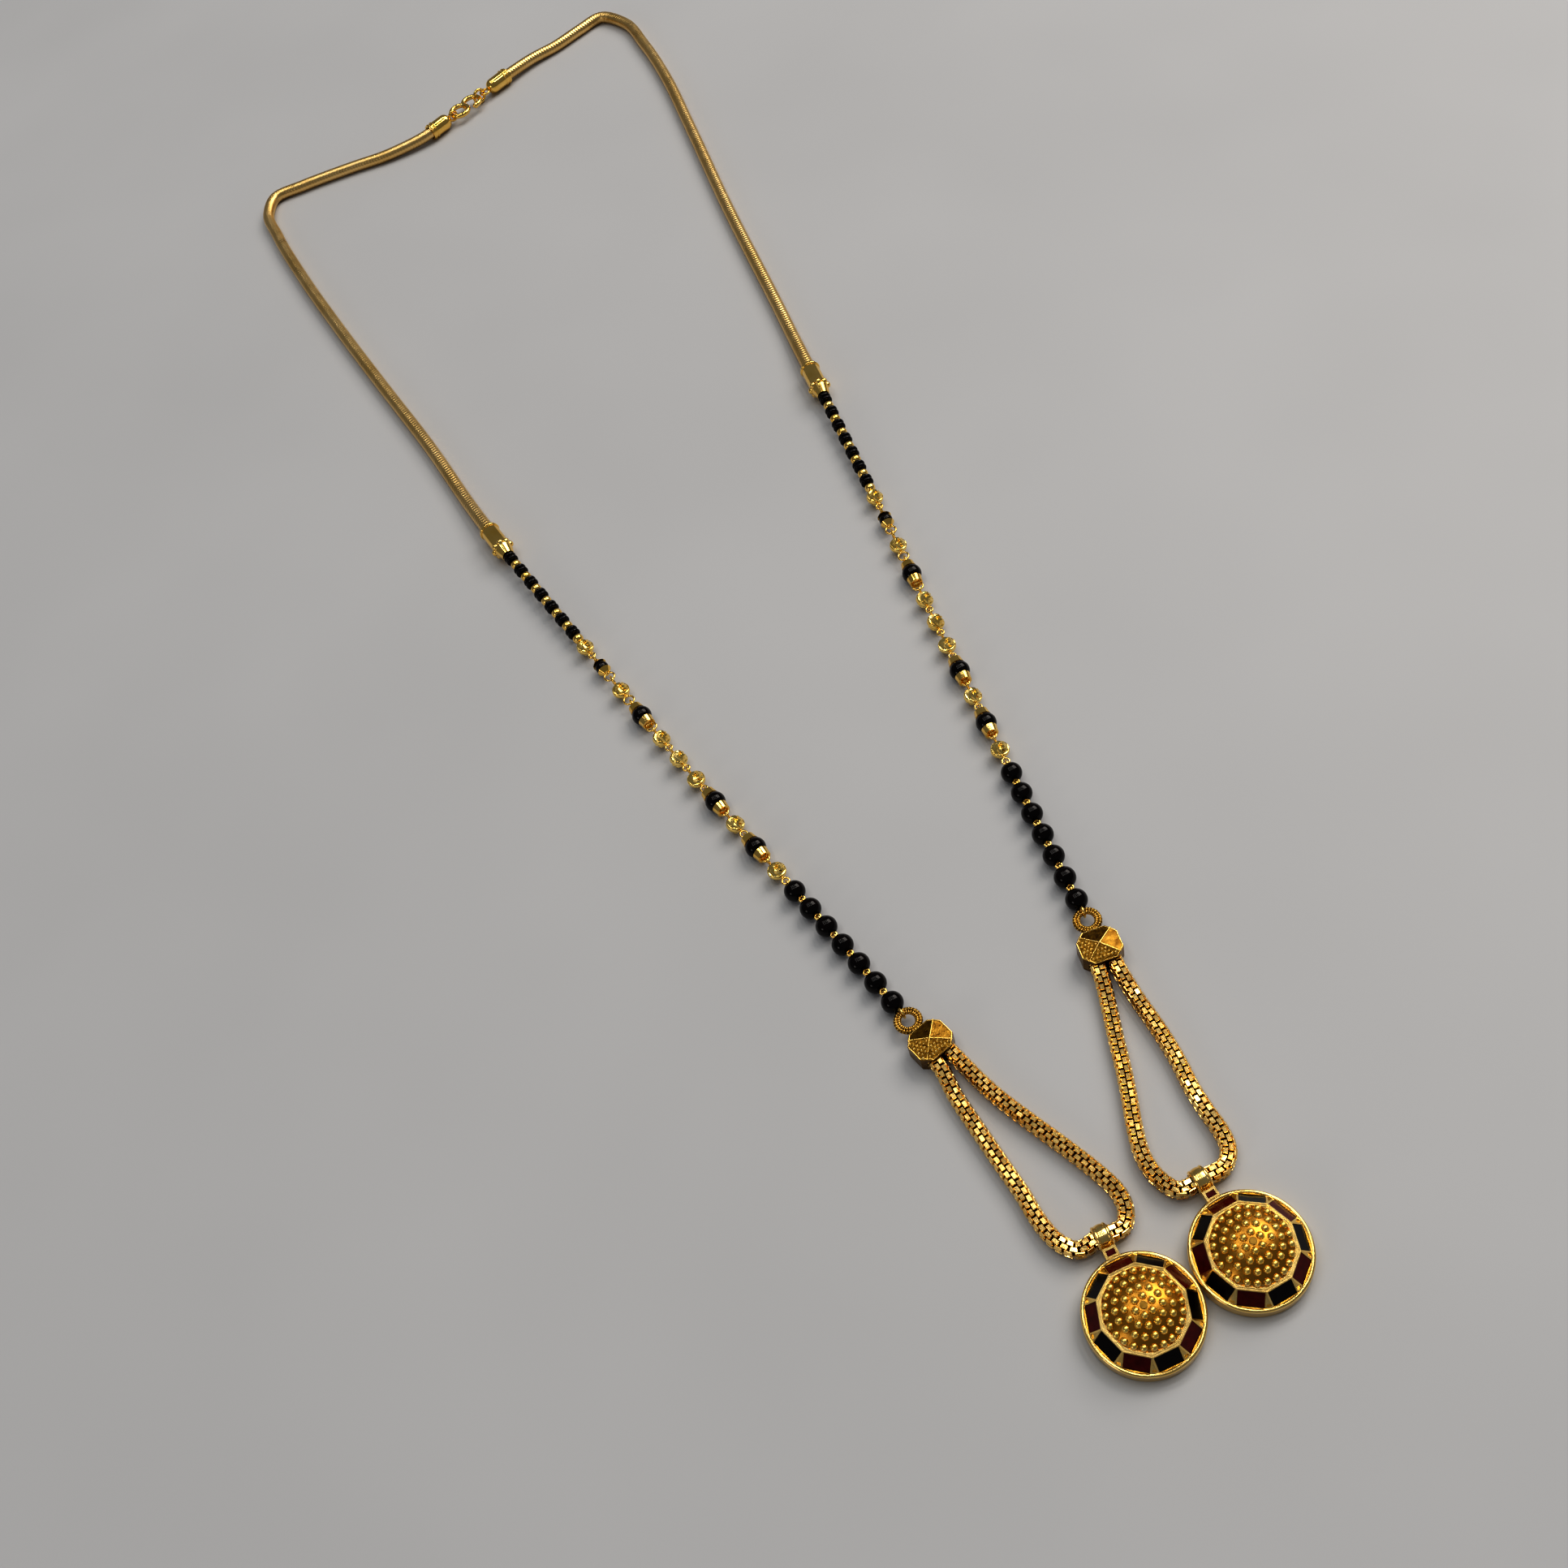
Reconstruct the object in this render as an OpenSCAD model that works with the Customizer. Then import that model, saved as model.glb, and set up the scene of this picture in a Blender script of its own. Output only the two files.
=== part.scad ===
// Mangalsutra: a long necklace loop of black and gold beads with two domed enamel pendants.
// It lies flat on the ground, z = 0, with the pendants at -Y and the clasp at +Y. All sizes are in mm.

/* [Pendants] */
// Outside diameter of a pendant
pendant_d = 14; // [12.5:0.1:17]
// Gap between the rims of the two pendants
pendant_gap = 0.15; // [0.1:0.05:3]
// Height of the cup from its rim's foot to the middle of the crown, without the granules
crown_h = 5.4; // [5:0.1:6.4]
// Width of the polished rim
rim_w = 0.55; // [0.4:0.05:0.8]
// Height of the polished rim, which is also the cup's outer wall
rim_h = 1.95; // [1.8:0.05:2.1]
// Thickness of the wall under the rim
rim_wall = 0.45; // [0.35:0.05:0.6]
// Radial width of the sloping band that holds the enamel panels
band_w = 1.42; // [1.2:0.01:1.5]
// Height of the sloping band's foot above the rim's foot
band_foot_h = 1.85; // [1.7:0.05:1.9]
// Rise of the sloping band from its foot to the inner frame
band_rise = 1.6; // [1.5:0.05:1.8]
// Width of one wire of the inner frame
frame_wire_w = 0.15; // [0.15:0.05:0.3]
// Groove between the two wires of the inner frame
frame_groove_w = 0.1; // [0.1:0.05:0.25]
// How far the inner frame stands above the top of the sloping band
frame_h = 0.15; // [0.1:0.05:0.4]
// Thickness of the cup's gold wall under the crown and the panel pockets
cup_wall = 0.3; // [0.25:0.05:0.45]
// Diameter of one granule of the crown
granule_d = 0.95; // [0.6:0.05:1]
// Distance from one ring of granules to the next
granule_pitch = 1.05; // [1:0.01:1.15]
// Rings of granules around the crown's middle dot
granule_rings = 4; // [3:1:4]
// Diameter of the flat dot in the middle of the crown
dot_d = 0.9; // [0.6:0.05:1.1]

/* [Enamel] */
// Length of an enamel panel along the rim
panel_l = 2.95; // [2.2:0.05:2.95]
// Width of an enamel panel up the slope
panel_w = 1.85; // [1.2:0.05:1.85]
// Thickness of the enamel
enamel_t = 0.25; // [0.15:0.05:0.3]
// Gap around each enamel panel in its pocket
enamel_gap = 0.05; // [0.03:0.01:0.08]
// Length of the enamel spot across the stem
spot_l = 1.05; // [0.7:0.05:1.2]
// Width of the enamel spot along the stem
spot_w = 0.6; // [0.4:0.05:0.7]

/* [Bail] */
// Outside diameter of the ball-shaped bail
bail_d = 3.1; // [2.9:0.1:4.2]
// Bore of the bail, which the mesh chain passes through
bail_bore_d = 2.35; // [2.35:0.05:2.5]
// Wire of the two rings round the bail
bail_ring_d = 0.4; // [0.3:0.05:0.45]
// Distance of each ring from the bail's middle
bail_ring_x = 0.7; // [0.6:0.05:0.8]
// Width of the stem between rim and bail
stem_w = 1.7; // [1.5:0.05:2]
// Height of the stem's top above the rim's foot
stem_h = 1.3; // [1.1:0.05:1.5]
// Length of stem that shows between rim and bail
stem_l = 1.15; // [1:0.05:1.8]

/* [Mesh chains] */
// Width of the square mesh chain
mesh_w = 1.8; // [1.5:0.05:1.9]
// Radius of the mesh chain's rounded edges
mesh_corner = 0.5; // [0.4:0.05:0.7]

/* [Connectors] */
// Width of the connector across the strand
connector_w = 5.5; // [5.3:0.1:7]
// Length of the connector along the strand
connector_l = 4.8; // [4.4:0.1:6]
// Height of the connector's side walls
connector_h = 2.7; // [2.6:0.05:3.4]
// How far the facets of the connector rise to its middle
connector_rise = 0.7; // [0.3:0.05:1.2]
// Cut across each corner of the connector
connector_cut = 1.2; // [0.6:0.1:1.4]
// Distance between the middles of the two chain ends in the connector
socket_pitch = 2.3; // [2.1:0.05:2.5]
// Clearance around the chain ends in the connector's socket, whose corners follow those of the chain
socket_gap = 0.15; // [0.1:0.05:0.2]
// Depth of the connector's socket
socket_depth = 2.2; // [1.6:0.1:2.6]
// Wire of the connector's double ring
ring_wire_d = 0.56; // [0.5:0.02:0.64]
// Inside diameter of the connector's ring
ring_hole_d = 1.85; // [1.8:0.05:2.6]
// Length of the neck between connector and ring
ring_neck_l = 0.25; // [0.15:0.05:0.6]

/* [Eye pins] */
// Wire of the eyes of the pins
pin_wire_d = 0.3; // [0.24:0.02:0.34]
// Wire of a pin's straight part, which is drawn a little thinner
pin_rod_d = 0.27; // [0.21:0.02:0.31]
// Clearance between hooked eyes, and between a pin and a bead's bore
pin_gap = 0.1; // [0.1:0.01:0.12]
// Middle radius of the eyes in the black row
eye_small_r = 0.4; // [0.4:0.02:0.5]
// Middle radius of the eyes in the gold row
eye_mid_r = 0.5; // [0.42:0.02:0.6]
// Middle radius of the eyes in the upper part of the gold row
eye_large_r = 0.8; // [0.6:0.05:0.95]

/* [Beads] */
// Diameter of the round black beads
bead_d = 3; // [2.8:0.05:3.4]
// How far an eye sinks into the end of a black bead
eye_sink = 0.25; // [0.1:0.05:0.3]
// Diameter of the gold balls
ball_d = 2.7; // [2.4:0.05:3]
// Width of the polished band around a gold ball
ball_band_w = 0.6; // [0.3:0.05:0.9]
// Length of wire that shows between a gold ball and its eye
ball_neck = 0.3; // [0.15:0.05:0.6]
// Diameter of the mouth of a bead cap
cap_mouth_d = 2.4; // [2:0.05:2.6]
// Diameter of the back of a bead cap
cap_back_d = 2; // [1.8:0.05:2.2]
// Height of the lip around the back of a bead cap
cap_lip_h = 0.25; // [0.15:0.05:0.3]
// Wall of a bead cap behind its bead
cap_wall = 0.35; // [0.25:0.05:0.5]
// Diameter of the small black bead
small_d = 2.1; // [1.8:0.05:2.4]
// Length of the small black bead
small_l = 1.4; // [1.1:0.05:1.7]
// Length of a cone cap at the small black bead
cone_l = 0.75; // [0.5:0.05:1]
// Mouth diameter of a cone cap
cone_mouth_d = 2.2; // [1.8:0.05:2.5]
// Back diameter of a cone cap
cone_back_d = 1.1; // [0.9:0.05:1.4]

/* [Seed section] */
// Diameter of the gold seeds
seed_d = 1.7; // [1.4:0.05:1.9]
// Diameter of the black rondelles
rondelle_d = 2.1; // [1.8:0.05:2.4]
// Thickness of a black rondelle
rondelle_t = 0.75; // [0.6:0.05:0.9]
// Gap between neighbours on the seed wire
seed_gap = 0.1; // [0.1:0.01:0.15]
// Gold seeds on each side, each followed by a pair of rondelles
seed_count = 7; // [4:1:8]

/* [Snake chains and end caps] */
// Diameter of the snake chain
snake_d = 2.35; // [2:0.05:2.5]
// Outside diameter of the collars that hold the snake chain
collar_d = 3.1; // [2.9:0.05:3.3]
// Clearance around the snake chain in a collar
collar_gap = 0.1; // [0.08:0.01:0.12]
// Depth of the snake chain in a collar
collar_depth = 3.2; // [2:0.1:3.8]
// Length of the end cap's bell
bell_l = 1.9; // [1.4:0.1:2.6]
// Diameter of the bell at the seeds
bell_small_d = 2.1; // [1.6:0.05:2.4]
// Diameter of one granule of the end cap's ring
cap_granule_d = 1.15; // [0.9:0.05:1.2]
// Length of the end cap's collar
collar_l = 5.2; // [4.6:0.1:6]

/* [Clasp] */
// Length of a clasp cap from its mouth to its eye
clasp_cap_l = 5.6; // [5:0.1:7]
// Wire of the clasp caps' eyes
clasp_eye_wire_d = 0.5; // [0.4:0.05:0.6]
// Middle radius of the clasp caps' eyes
clasp_eye_r = 0.95; // [0.9:0.05:1.1]
// Wire of the S hook
hook_wire_d = 1; // [0.8:0.05:1.1]
// Middle radius of each half of the S hook
hook_r = 1.9; // [1.7:0.05:2.3]
// Wire of the jump ring
jump_wire_d = 0.6; // [0.5:0.05:0.65]
// Middle radius of the jump ring
jump_r = 1.35; // [1.25:0.05:1.4]
// Clearance between the clasp's hooked parts
clasp_gap = 0.15; // [0.12:0.01:0.2]

/* [Hidden] */
SIDES = ["left", "right"];
UNITS = ["black", "black", "black", "black", "black", "black", "black", "gold", "capped", "gold", "capped",
         "gold", "gold", "gold", "capped", "gold", "small", "gold"];
BLACKS = [for (i = [0 : len(UNITS) - 1]) if (UNITS[i] != "gold") i];
GOLDS = [for (i = [0 : len(UNITS) - 1]) if (UNITS[i] == "gold") i];
PIECES = ["pendant", "red_enamel", "black_enamel", "mesh_chain", "connector", "eye_pins", "gold_seeds",
          "black_rondelles", "end_cap", "snake_chain", "clasp_cap"];

GOLD = [0.86, 0.63, 0.2];
PALE_GOLD = [0.93, 0.76, 0.36];
BLACK = [0.05, 0.04, 0.04];
RED = [0.35, 0.02, 0.03];
fine = 48;
coarse = 24;
over = 0.05;

// Pendant: radii are half sizes across the flats of the ten-sided forms
panel_count = 10;
panel_turn = 360 / panel_count;
corner_k = 1 / cos(panel_turn / 2);
rim_in_r = pendant_d / 2 - rim_w;
band_foot_r = rim_in_r - over;
band_top_r = band_foot_r - band_w;
band_top_h = band_foot_h + band_rise;
band_slope = atan2(band_rise, band_w);
band_len = norm([band_rise, band_w]);
corner_slope = atan2(band_rise, band_w * corner_k);
corner_len = norm([band_rise, band_w * corner_k]);
frame_in_r = band_top_r - 2 * frame_wire_w - frame_groove_w;
crown_edge_h = band_top_h + over;
crown_sag = crown_h - crown_edge_h;
crown_r = (pow(frame_in_r, 2) + pow(crown_sag, 2)) / (2 * crown_sag);
crown_sink = 0.1;
pocket_t = enamel_t + 2 * enamel_gap;
recess_t = 0.25;
cavity_in = pocket_t + cup_wall;
stem_foot_h = 0.3;
stem_mid_h = (stem_foot_h + stem_h) / 2;
bail_reach = pendant_d / 2 + stem_l + bail_d / 2;
bail_mid_h = bail_d / 2;

// A pendant leans on the near edge of its rim and on its bail, so its bail side is raised a little
lean_l = bail_reach + pendant_d / 2;
pendant_lean = asin(bail_mid_h / norm([lean_l, stem_mid_h])) - atan2(stem_mid_h, lean_l);
bail_run = lean_l * cos(pendant_lean) - stem_mid_h * sin(pendant_lean) - pendant_d / 2;

// Places chosen on the ground: the pendants' common middle, the connectors and the clasp, as [x, y, turn]
pair_middle = [9.5, -145];
pair_stagger = 0.4;
pendant_turn = [-1.5, 3.5];
connector_from_bail = [[-6.8, 31.3, 15.5], [4.8, 32, -8]];
clasp_middle = [4.5, 139.2];
clasp_turn = 23;

// Mesh chains from the connector's left socket through the bail to its right socket, from the bail's middle
MESH_DOWN = [
    [[-7.2, 24.1], [-6.7, 18.6], [-6.2, 13.6], [-5.7, 9], [-5.5, 5], [-4.7, 1.8], [-3, -0.1]],
    [[2, 25], [0.5, 20.4], [-0.8, 16.2], [-2.1, 12.5], [-3.4, 9], [-4.3, 5.4], [-3.9, 2], [-2.6, 0]]];
MESH_UP = [
    [[2.7, 0], [4, 1.6], [4.3, 3.9], [3.5, 7], [1.9, 11], [-0.3, 15.9], [-2.9, 22]],
    [[3.2, 0.2], [4.8, 1.7], [5.3, 4], [5.2, 7], [5.2, 10.5], [5.6, 14.5], [5.7, 19.1], [5.5, 24.3]]];

// Strand and snake chain on each side, from the connector's ring to the clasp
ROUTE = [
    [[-8.1, -86.5], [-13.1, -64], [-18.1, -40], [-22.6, -16.5], [-26.9, 5], [-29.4, 20], [-32.2, 42],
     [-35.8, 64], [-39.1, 85], [-42, 106], [-43.7, 124], [-43.8, 132], [-41.1, 137], [-35.1, 137],
     [-24.1, 135.9], [-13.1, 134.3]],
    [[22.5, -86], [24.5, -65], [26.5, -44], [28.9, -22], [31.1, -1], [32.6, 17], [34.8, 38], [37.8, 70],
     [41.3, 100], [43.4, 120], [43.8, 134], [42.9, 145.5], [39.4, 150.9], [33.9, 149.6], [27.9, 147.6],
     [21.4, 146.2]]];

// Smooth curve through points, each stretch cut into equal steps
function way(p, q) = (q - p) / norm(q - p);
function bend(p, i) =
    i == 0 ? way(p[0], p[1]) :
    i == len(p) - 1 ? way(p[i - 1], p[i]) :
    let (d = norm(p[i] - p[i - 1]), e = norm(p[i + 1] - p[i]))
    (way(p[i - 1], p[i]) * e + way(p[i], p[i + 1]) * d) / (d + e);
function between(p, i, t) =
    let (d = norm(p[i + 1] - p[i]))
    p[i] * (2 * pow(t, 3) - 3 * pow(t, 2) + 1)
    + bend(p, i) * d * (pow(t, 3) - 2 * pow(t, 2) + t)
    + p[i + 1] * (3 * pow(t, 2) - 2 * pow(t, 3))
    + bend(p, i + 1) * d * (pow(t, 3) - pow(t, 2));
function curve(p, steps) =
    [for (i = [0 : len(p) - 2]) for (k = [0 : steps - 1]) between(p, i, k / steps), p[len(p) - 1]];
function run_of(p) =
    [for (i = 0, s = 0; i < len(p); i = i + 1, s = i < len(p) ? s + norm(p[i] - p[i - 1]) : s) s];
function turned(p, a) = [p[0] * cos(a) - p[1] * sin(a), p[0] * sin(a) + p[1] * cos(a)];
function with_height(p, h) = [p[0], p[1], h];
function flat(p) = [p[0], p[1]];
function last(p) = p[len(p) - 1];

// Solid swept along a curve with one section, given as points [across, up]
module sweep(path, section) {
    n = len(section);
    m = len(path);
    points = [for (i = [0 : m - 1])
        let (a = path[max(i - 1, 0)], b = path[min(i + 1, m - 1)], t = way(a, b),
             side = way([0, 0, 0], cross(t, [0, 0, 1])), up = cross(side, t))
        for (q = section) path[i] + side * q[0] + up * q[1]];
    faces = concat(
        [[for (j = [0 : n - 1]) j]],
        [for (i = [0 : m - 2]) for (j = [0 : n - 1])
            [i * n + j, (i + 1) * n + j, (i + 1) * n + (j + 1) % n, i * n + (j + 1) % n]],
        [[for (j = [n - 1 : -1 : 0]) (m - 1) * n + j]]);
    polyhedron(points, faces, convexity = 10);
}
function round_section(r, sides) = [for (j = [0 : sides - 1]) r * [cos(j * 360 / sides), sin(j * 360 / sides)]];
function rounded_section(w, h, r) =
    [for (c = [0 : 3]) for (k = [0 : 2])
        let (a = c * 90 + k * 45, m = c * 90 + 45)
        [sign(cos(m)) * (w / 2 - r), sign(sin(m)) * (h / 2 - r)] + r * [cos(a), sin(a)]];

// Draws along +X from one place towards another
module along(p, q) {
    d = q - p;
    translate(p) rotate([0, -atan2(d[2], norm(flat(d))), atan2(d[1], d[0])]) children();
}
module rod(r, l) { rotate([0, 90, 0]) cylinder(r = r, h = l, $fn = coarse); }
module cone_rod(r1, r2, l) { rotate([0, 90, 0]) cylinder(r1 = r1, r2 = r2, h = l, $fn = fine); }
module torus(r, wire_r) { rotate_extrude($fn = fine) translate([r, 0]) circle(r = wire_r, $fn = coarse); }
// Ring whose axis lies along the strand
module hoop(r, wire_r) { rotate([0, 90, 0]) torus(r, wire_r); }
// Ring that a neighbour hooks into: lying flat, or standing upright along the strand
module eye(r, wire_r, upright) { rotate([upright ? 90 : 0, 0, 0]) torus(r, wire_r); }

// Places worked out from the sizes
function pendant_place(s) = pair_middle + (s == 0 ? -1 : 1) * [(pendant_d + pendant_gap) / 2, pair_stagger];
function bail_place(s) = pendant_place(s) + turned([0, bail_run], pendant_turn[s]);
function connector_place(s) = bail_place(s) + flat(connector_from_bail[s]);
function connector_turn(s) = connector_from_bail[s][2];
function on_connector(s, p) = connector_place(s) + turned(p, connector_turn(s));

// Mesh chain: heights follow the ground, the bail and the connector's socket
mesh_floor_h = mesh_w / 2;
socket_r = mesh_w / 2 + socket_gap;
socket_mid_h = socket_r + 0.3;
mesh_end_y = -connector_l / 2 + socket_depth - 0.2;
mesh_out_y = -connector_l / 2;
bail_half_l = sqrt(pow(bail_d / 2, 2) - pow(bail_bore_d / 2, 2));
mesh_points_in_socket = [mesh_end_y, (mesh_end_y + mesh_out_y) / 2, mesh_out_y];
function mesh_end(s, x, y) = with_height(on_connector(s, [x, y]), socket_mid_h);
function mesh_leg(s, leg) = [for (p = leg)
    with_height(bail_place(s) + p, mesh_floor_h + (bail_mid_h - mesh_floor_h) * max(0, 1 - norm(p) / 9))];
function on_ground(p) = with_height(p, max(p[2], mesh_floor_h));
function mesh_route(s) = concat(
    [for (y = mesh_points_in_socket) mesh_end(s, -socket_pitch / 2, y)],
    mesh_leg(s, MESH_DOWN[s]),
    [for (x = [-1, 0, 1]) with_height(bail_place(s) + turned([x * bail_half_l, 0], pendant_turn[s]), bail_mid_h)],
    mesh_leg(s, MESH_UP[s]),
    [for (y = [2 : -1 : 0]) mesh_end(s, socket_pitch / 2, mesh_points_in_socket[y])]);

// Connector's ring: two wires side by side, joined where they meet
ring_in_r = ring_hole_d / 2 + ring_wire_d / 2;
ring_out_r = ring_in_r + ring_wire_d * 0.75;
ring_mid_r = (ring_in_r + ring_out_r) / 2;
ring_h = bead_d / 2;
ring_half_w = (ring_out_r - ring_in_r + ring_wire_d) / 2;
ring_y = connector_l / 2 + ring_neck_l + ring_out_r + ring_wire_d / 2 - over;

// Eye pins: how far each kind of unit reaches from its middle to the foot of its eye
pin_r = pin_wire_d / 2;
bore_r = pin_rod_d / 2 + pin_gap;
dimple_gap = pin_r + pin_gap;
cap_reach = bead_d / 2 + pin_gap + cap_wall;
small_reach = small_l / 2 + pin_gap + cone_l;
ring_eye_r = ring_half_w + pin_gap + pin_r;
function seat(i) =
    UNITS[i] == "black" ? bead_d / 2 - eye_sink :
    UNITS[i] == "capped" ? cap_reach :
    UNITS[i] == "small" ? small_reach : ball_d / 2 + ball_neck;
first_large = 13;
function eye_r(i) = UNITS[i] == "black" ? eye_small_r : (i > first_large && i < len(UNITS) - 1) ? eye_large_r : eye_mid_r;
function low_eye_r(i) = i == 0 ? ring_eye_r : eye_r(i);
hooked = pin_r + pin_gap / 2;
function low_reach(i) = seat(i) + (i == 0 ? ring_eye_r : 2 * eye_r(i) - hooked);
function high_reach(i) = seat(i) + 2 * eye_r(i) - hooked;
// Run along the route from the connector's ring to the hook between unit i - 1 and unit i
function joint_run(i) = i == 0 ? 0 : joint_run(i - 1) + low_reach(i - 1) + high_reach(i - 1);
last_unit = len(UNITS) - 1;
last_joint = joint_run(last_unit);

// Seed section on the last pin, measured from its hook
seed_step = seed_d + 2 * rondelle_t + 3 * seed_gap;
seed_start = low_reach(last_unit) + ball_d / 2 + seed_gap;
seed_len = seed_start + seed_count * seed_step;
cap_run = last_joint + seed_len;
wire_in_cap = bell_l;
bead_h = bead_d / 2;
granule_ring_r = collar_d / 2 - 0.15;
cap_h = granule_ring_r + cap_granule_d / 2;
cap_len = bell_l + cap_granule_d * 0.6 + collar_l;
snake_in_cap = cap_len - collar_depth;
snake_sides = 10;
snake_h = snake_d / 2 * cos(180 / snake_sides);
settle = 12;

// Clasp along its own axis, from the mouth of the left cap to the mouth of the right one
clasp_h = collar_d / 2 + 0.15;
clasp_eye_wire_r = clasp_eye_wire_d / 2;
hook_wire_r = hook_wire_d / 2;
jump_wire_r = jump_wire_d / 2;
hook_lap = 0.4;
hook_left_x = clasp_cap_l + 2 * clasp_eye_r - (clasp_eye_wire_r + hook_wire_r + clasp_gap) + hook_r;
hook_right_x = hook_left_x + 2 * hook_r - hook_lap;
jump_x = hook_right_x + hook_r - (hook_wire_r + jump_wire_r + clasp_gap) + jump_r;
clasp_len = jump_x + jump_r - (jump_wire_r + clasp_eye_wire_r + clasp_gap) + 2 * clasp_eye_r + clasp_cap_l;
clasp_way = [cos(clasp_turn), sin(clasp_turn)];
function clasp_point(x) = with_height(clasp_middle + (x - clasp_len / 2) * clasp_way, clasp_h);
function clasp_mouth(s) = clasp_point(s == 0 ? 0 : clasp_len);
function clasp_inside(s) = clasp_point(s == 0 ? collar_depth - 0.2 : clasp_len - collar_depth + 0.2);

// Whole route of a side: flat points first, then heights by run
steps = 5;
function ring_middle(s) = on_connector(s, [0, ring_y]);
function route_start(s) = ring_middle(s) + ring_mid_r * way(ring_middle(s), ROUTE[s][0]);
function flat_route(s) =
    curve(concat([route_start(s)], ROUTE[s], [flat(clasp_mouth(s)), flat(clasp_inside(s))]), steps);
FLAT = [for (s = [0, 1]) flat_route(s)];
RUN = [for (s = [0, 1]) run_of(FLAT[s])];
function height(s, r) = lookup(r, [
    [0, ring_h], [joint_run(1), bead_h], [last_joint, bead_h], [cap_run, cap_h], [cap_run + cap_len, cap_h],
    [cap_run + cap_len + settle, snake_h], [last(RUN[s]) - collar_depth - settle, snake_h],
    [last(RUN[s]) - collar_depth, clasp_h], [last(RUN[s]), clasp_h]]);
XS = [for (s = [0, 1]) [for (i = [0 : len(RUN[s]) - 1]) [RUN[s][i], FLAT[s][i][0]]]];
YS = [for (s = [0, 1]) [for (i = [0 : len(RUN[s]) - 1]) [RUN[s][i], FLAT[s][i][1]]]];
function at(s, r) = [lookup(r, XS[s]), lookup(r, YS[s]), height(s, r)];

// Draws a unit along the strand, from its lower hook at the origin
module on_strand(s, i) { along(at(s, joint_run(i)), at(s, joint_run(i + 1))) children(); }
module on_last_pin(s) { along(at(s, last_joint), at(s, cap_run)) children(); }
module at_unit(s, i) {
    if (i == last_unit) on_last_pin(s) translate([low_reach(i), 0, 0]) children();
    else on_strand(s, i) translate([low_reach(i), 0, 0]) children();
}

// Panel k lies on the slope in x and y, with z out of the slope; panel 0 is at the bail
module on_slope(k) {
    rotate([0, 0, k * panel_turn]) translate([0, band_foot_r, band_foot_h]) rotate([band_slope, 0, 180]) children();
}
module on_corner(k) {
    rotate([0, 0, (k + 0.5) * panel_turn]) translate([0, band_foot_r * corner_k, band_foot_h])
        rotate([corner_slope, 0, 180]) children();
}
module box(x, y, z) { translate([-x / 2, -y / 2, 0]) cube([x, y, z]); }
module ten_ring(out_r, w, h) {
    difference() {
        cylinder(r = out_r * corner_k, h = h, $fn = panel_count);
        translate([0, 0, -over]) cylinder(r = (out_r - w) * corner_k, h = h + 2 * over, $fn = panel_count);
    }
}
module spot_place() { translate([0, pendant_d / 2 + stem_l * 0.55, stem_h]) children(); }

module cup_shell() {
    difference() {
        cylinder(r = rim_in_r + rim_w / 2, h = band_top_h, $fn = fine);
        for (k = [0 : panel_count - 1]) on_slope(k) translate([-pendant_d / 2, -pendant_d / 2, 0])
            cube([pendant_d, pendant_d, pendant_d]);
    }
    difference() {
        cylinder(r = pendant_d / 2, h = rim_h - rim_w / 2, $fn = fine);
        translate([0, 0, -over]) cylinder(r = rim_in_r, h = rim_h, $fn = fine);
    }
    translate([0, 0, rim_h - rim_w / 2]) torus(rim_in_r + rim_w / 2, rim_w / 2);
    translate([0, 0, band_top_h - over]) ten_ring(band_top_r, frame_wire_w, frame_h + over);
    translate([0, 0, band_top_h - over]) ten_ring(frame_in_r + frame_wire_w, frame_wire_w, frame_h + over);
    intersection() {
        translate([0, 0, crown_h - crown_r]) sphere(r = crown_r, $fn = 2 * fine);
        cylinder(r = frame_in_r + frame_wire_w / 2, h = crown_h + over, $fn = fine);
    }
}
module crown_granules() {
    for (ring = [1 : granule_rings])
        for (n = [0 : 6 * ring - 1])
            rotate([0, 0, n * 60 / ring + ring * 8])
                translate([ring * granule_pitch, 0,
                           crown_h - crown_r + sqrt(pow(crown_r, 2) - pow(ring * granule_pitch, 2)) - crown_sink])
                    sphere(d = granule_d, $fn = coarse);
    translate([0, 0, crown_h - cup_wall / 2]) cylinder(d = dot_d, h = cup_wall, $fn = coarse);
}
module cup_cavity() {
    slope_in_r = band_foot_r - cavity_in / sin(band_slope);
    mouth_r = pendant_d / 2 - rim_wall;
    wall_top_h = band_foot_h - 0.9;
    slope_start_h = band_foot_h - 0.45;
    slope_end_h = band_top_h - cavity_in * cos(band_slope);
    rotate_extrude($fn = fine) polygon([
        [0, -over], [mouth_r, -over], [mouth_r, wall_top_h],
        [slope_in_r + (band_foot_h - slope_start_h) / tan(band_slope), slope_start_h],
        [slope_in_r - (slope_end_h - band_foot_h) / tan(band_slope), slope_end_h], [0, slope_end_h]]);
    intersection() {
        translate([0, 0, crown_h - crown_r]) sphere(r = crown_r - cup_wall - crown_sink, $fn = 2 * fine);
        translate([0, 0, slope_end_h - over]) cylinder(r = frame_in_r - cup_wall, h = crown_h, $fn = fine);
    }
}
module bail() {
    translate([0, bail_reach, stem_mid_h]) rotate([0, 90, 0]) rotate_extrude($fn = fine) difference() {
        union() {
            circle(d = bail_d, $fn = fine);
            for (y = [-1, 1]) translate([(bail_d - bail_ring_d) / 2 - over / 2, y * bail_ring_x])
                circle(d = bail_ring_d, $fn = coarse);
        }
        translate([-bail_d, -bail_d]) square([bail_d + bail_bore_d / 2, 2 * bail_d]);
    }
    translate([-stem_w / 2, rim_in_r + rim_w / 2, stem_foot_h])
        cube([stem_w, bail_reach - (bail_d + bail_bore_d) / 4 - rim_in_r - rim_w / 2, stem_h - stem_foot_h]);
}
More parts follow.
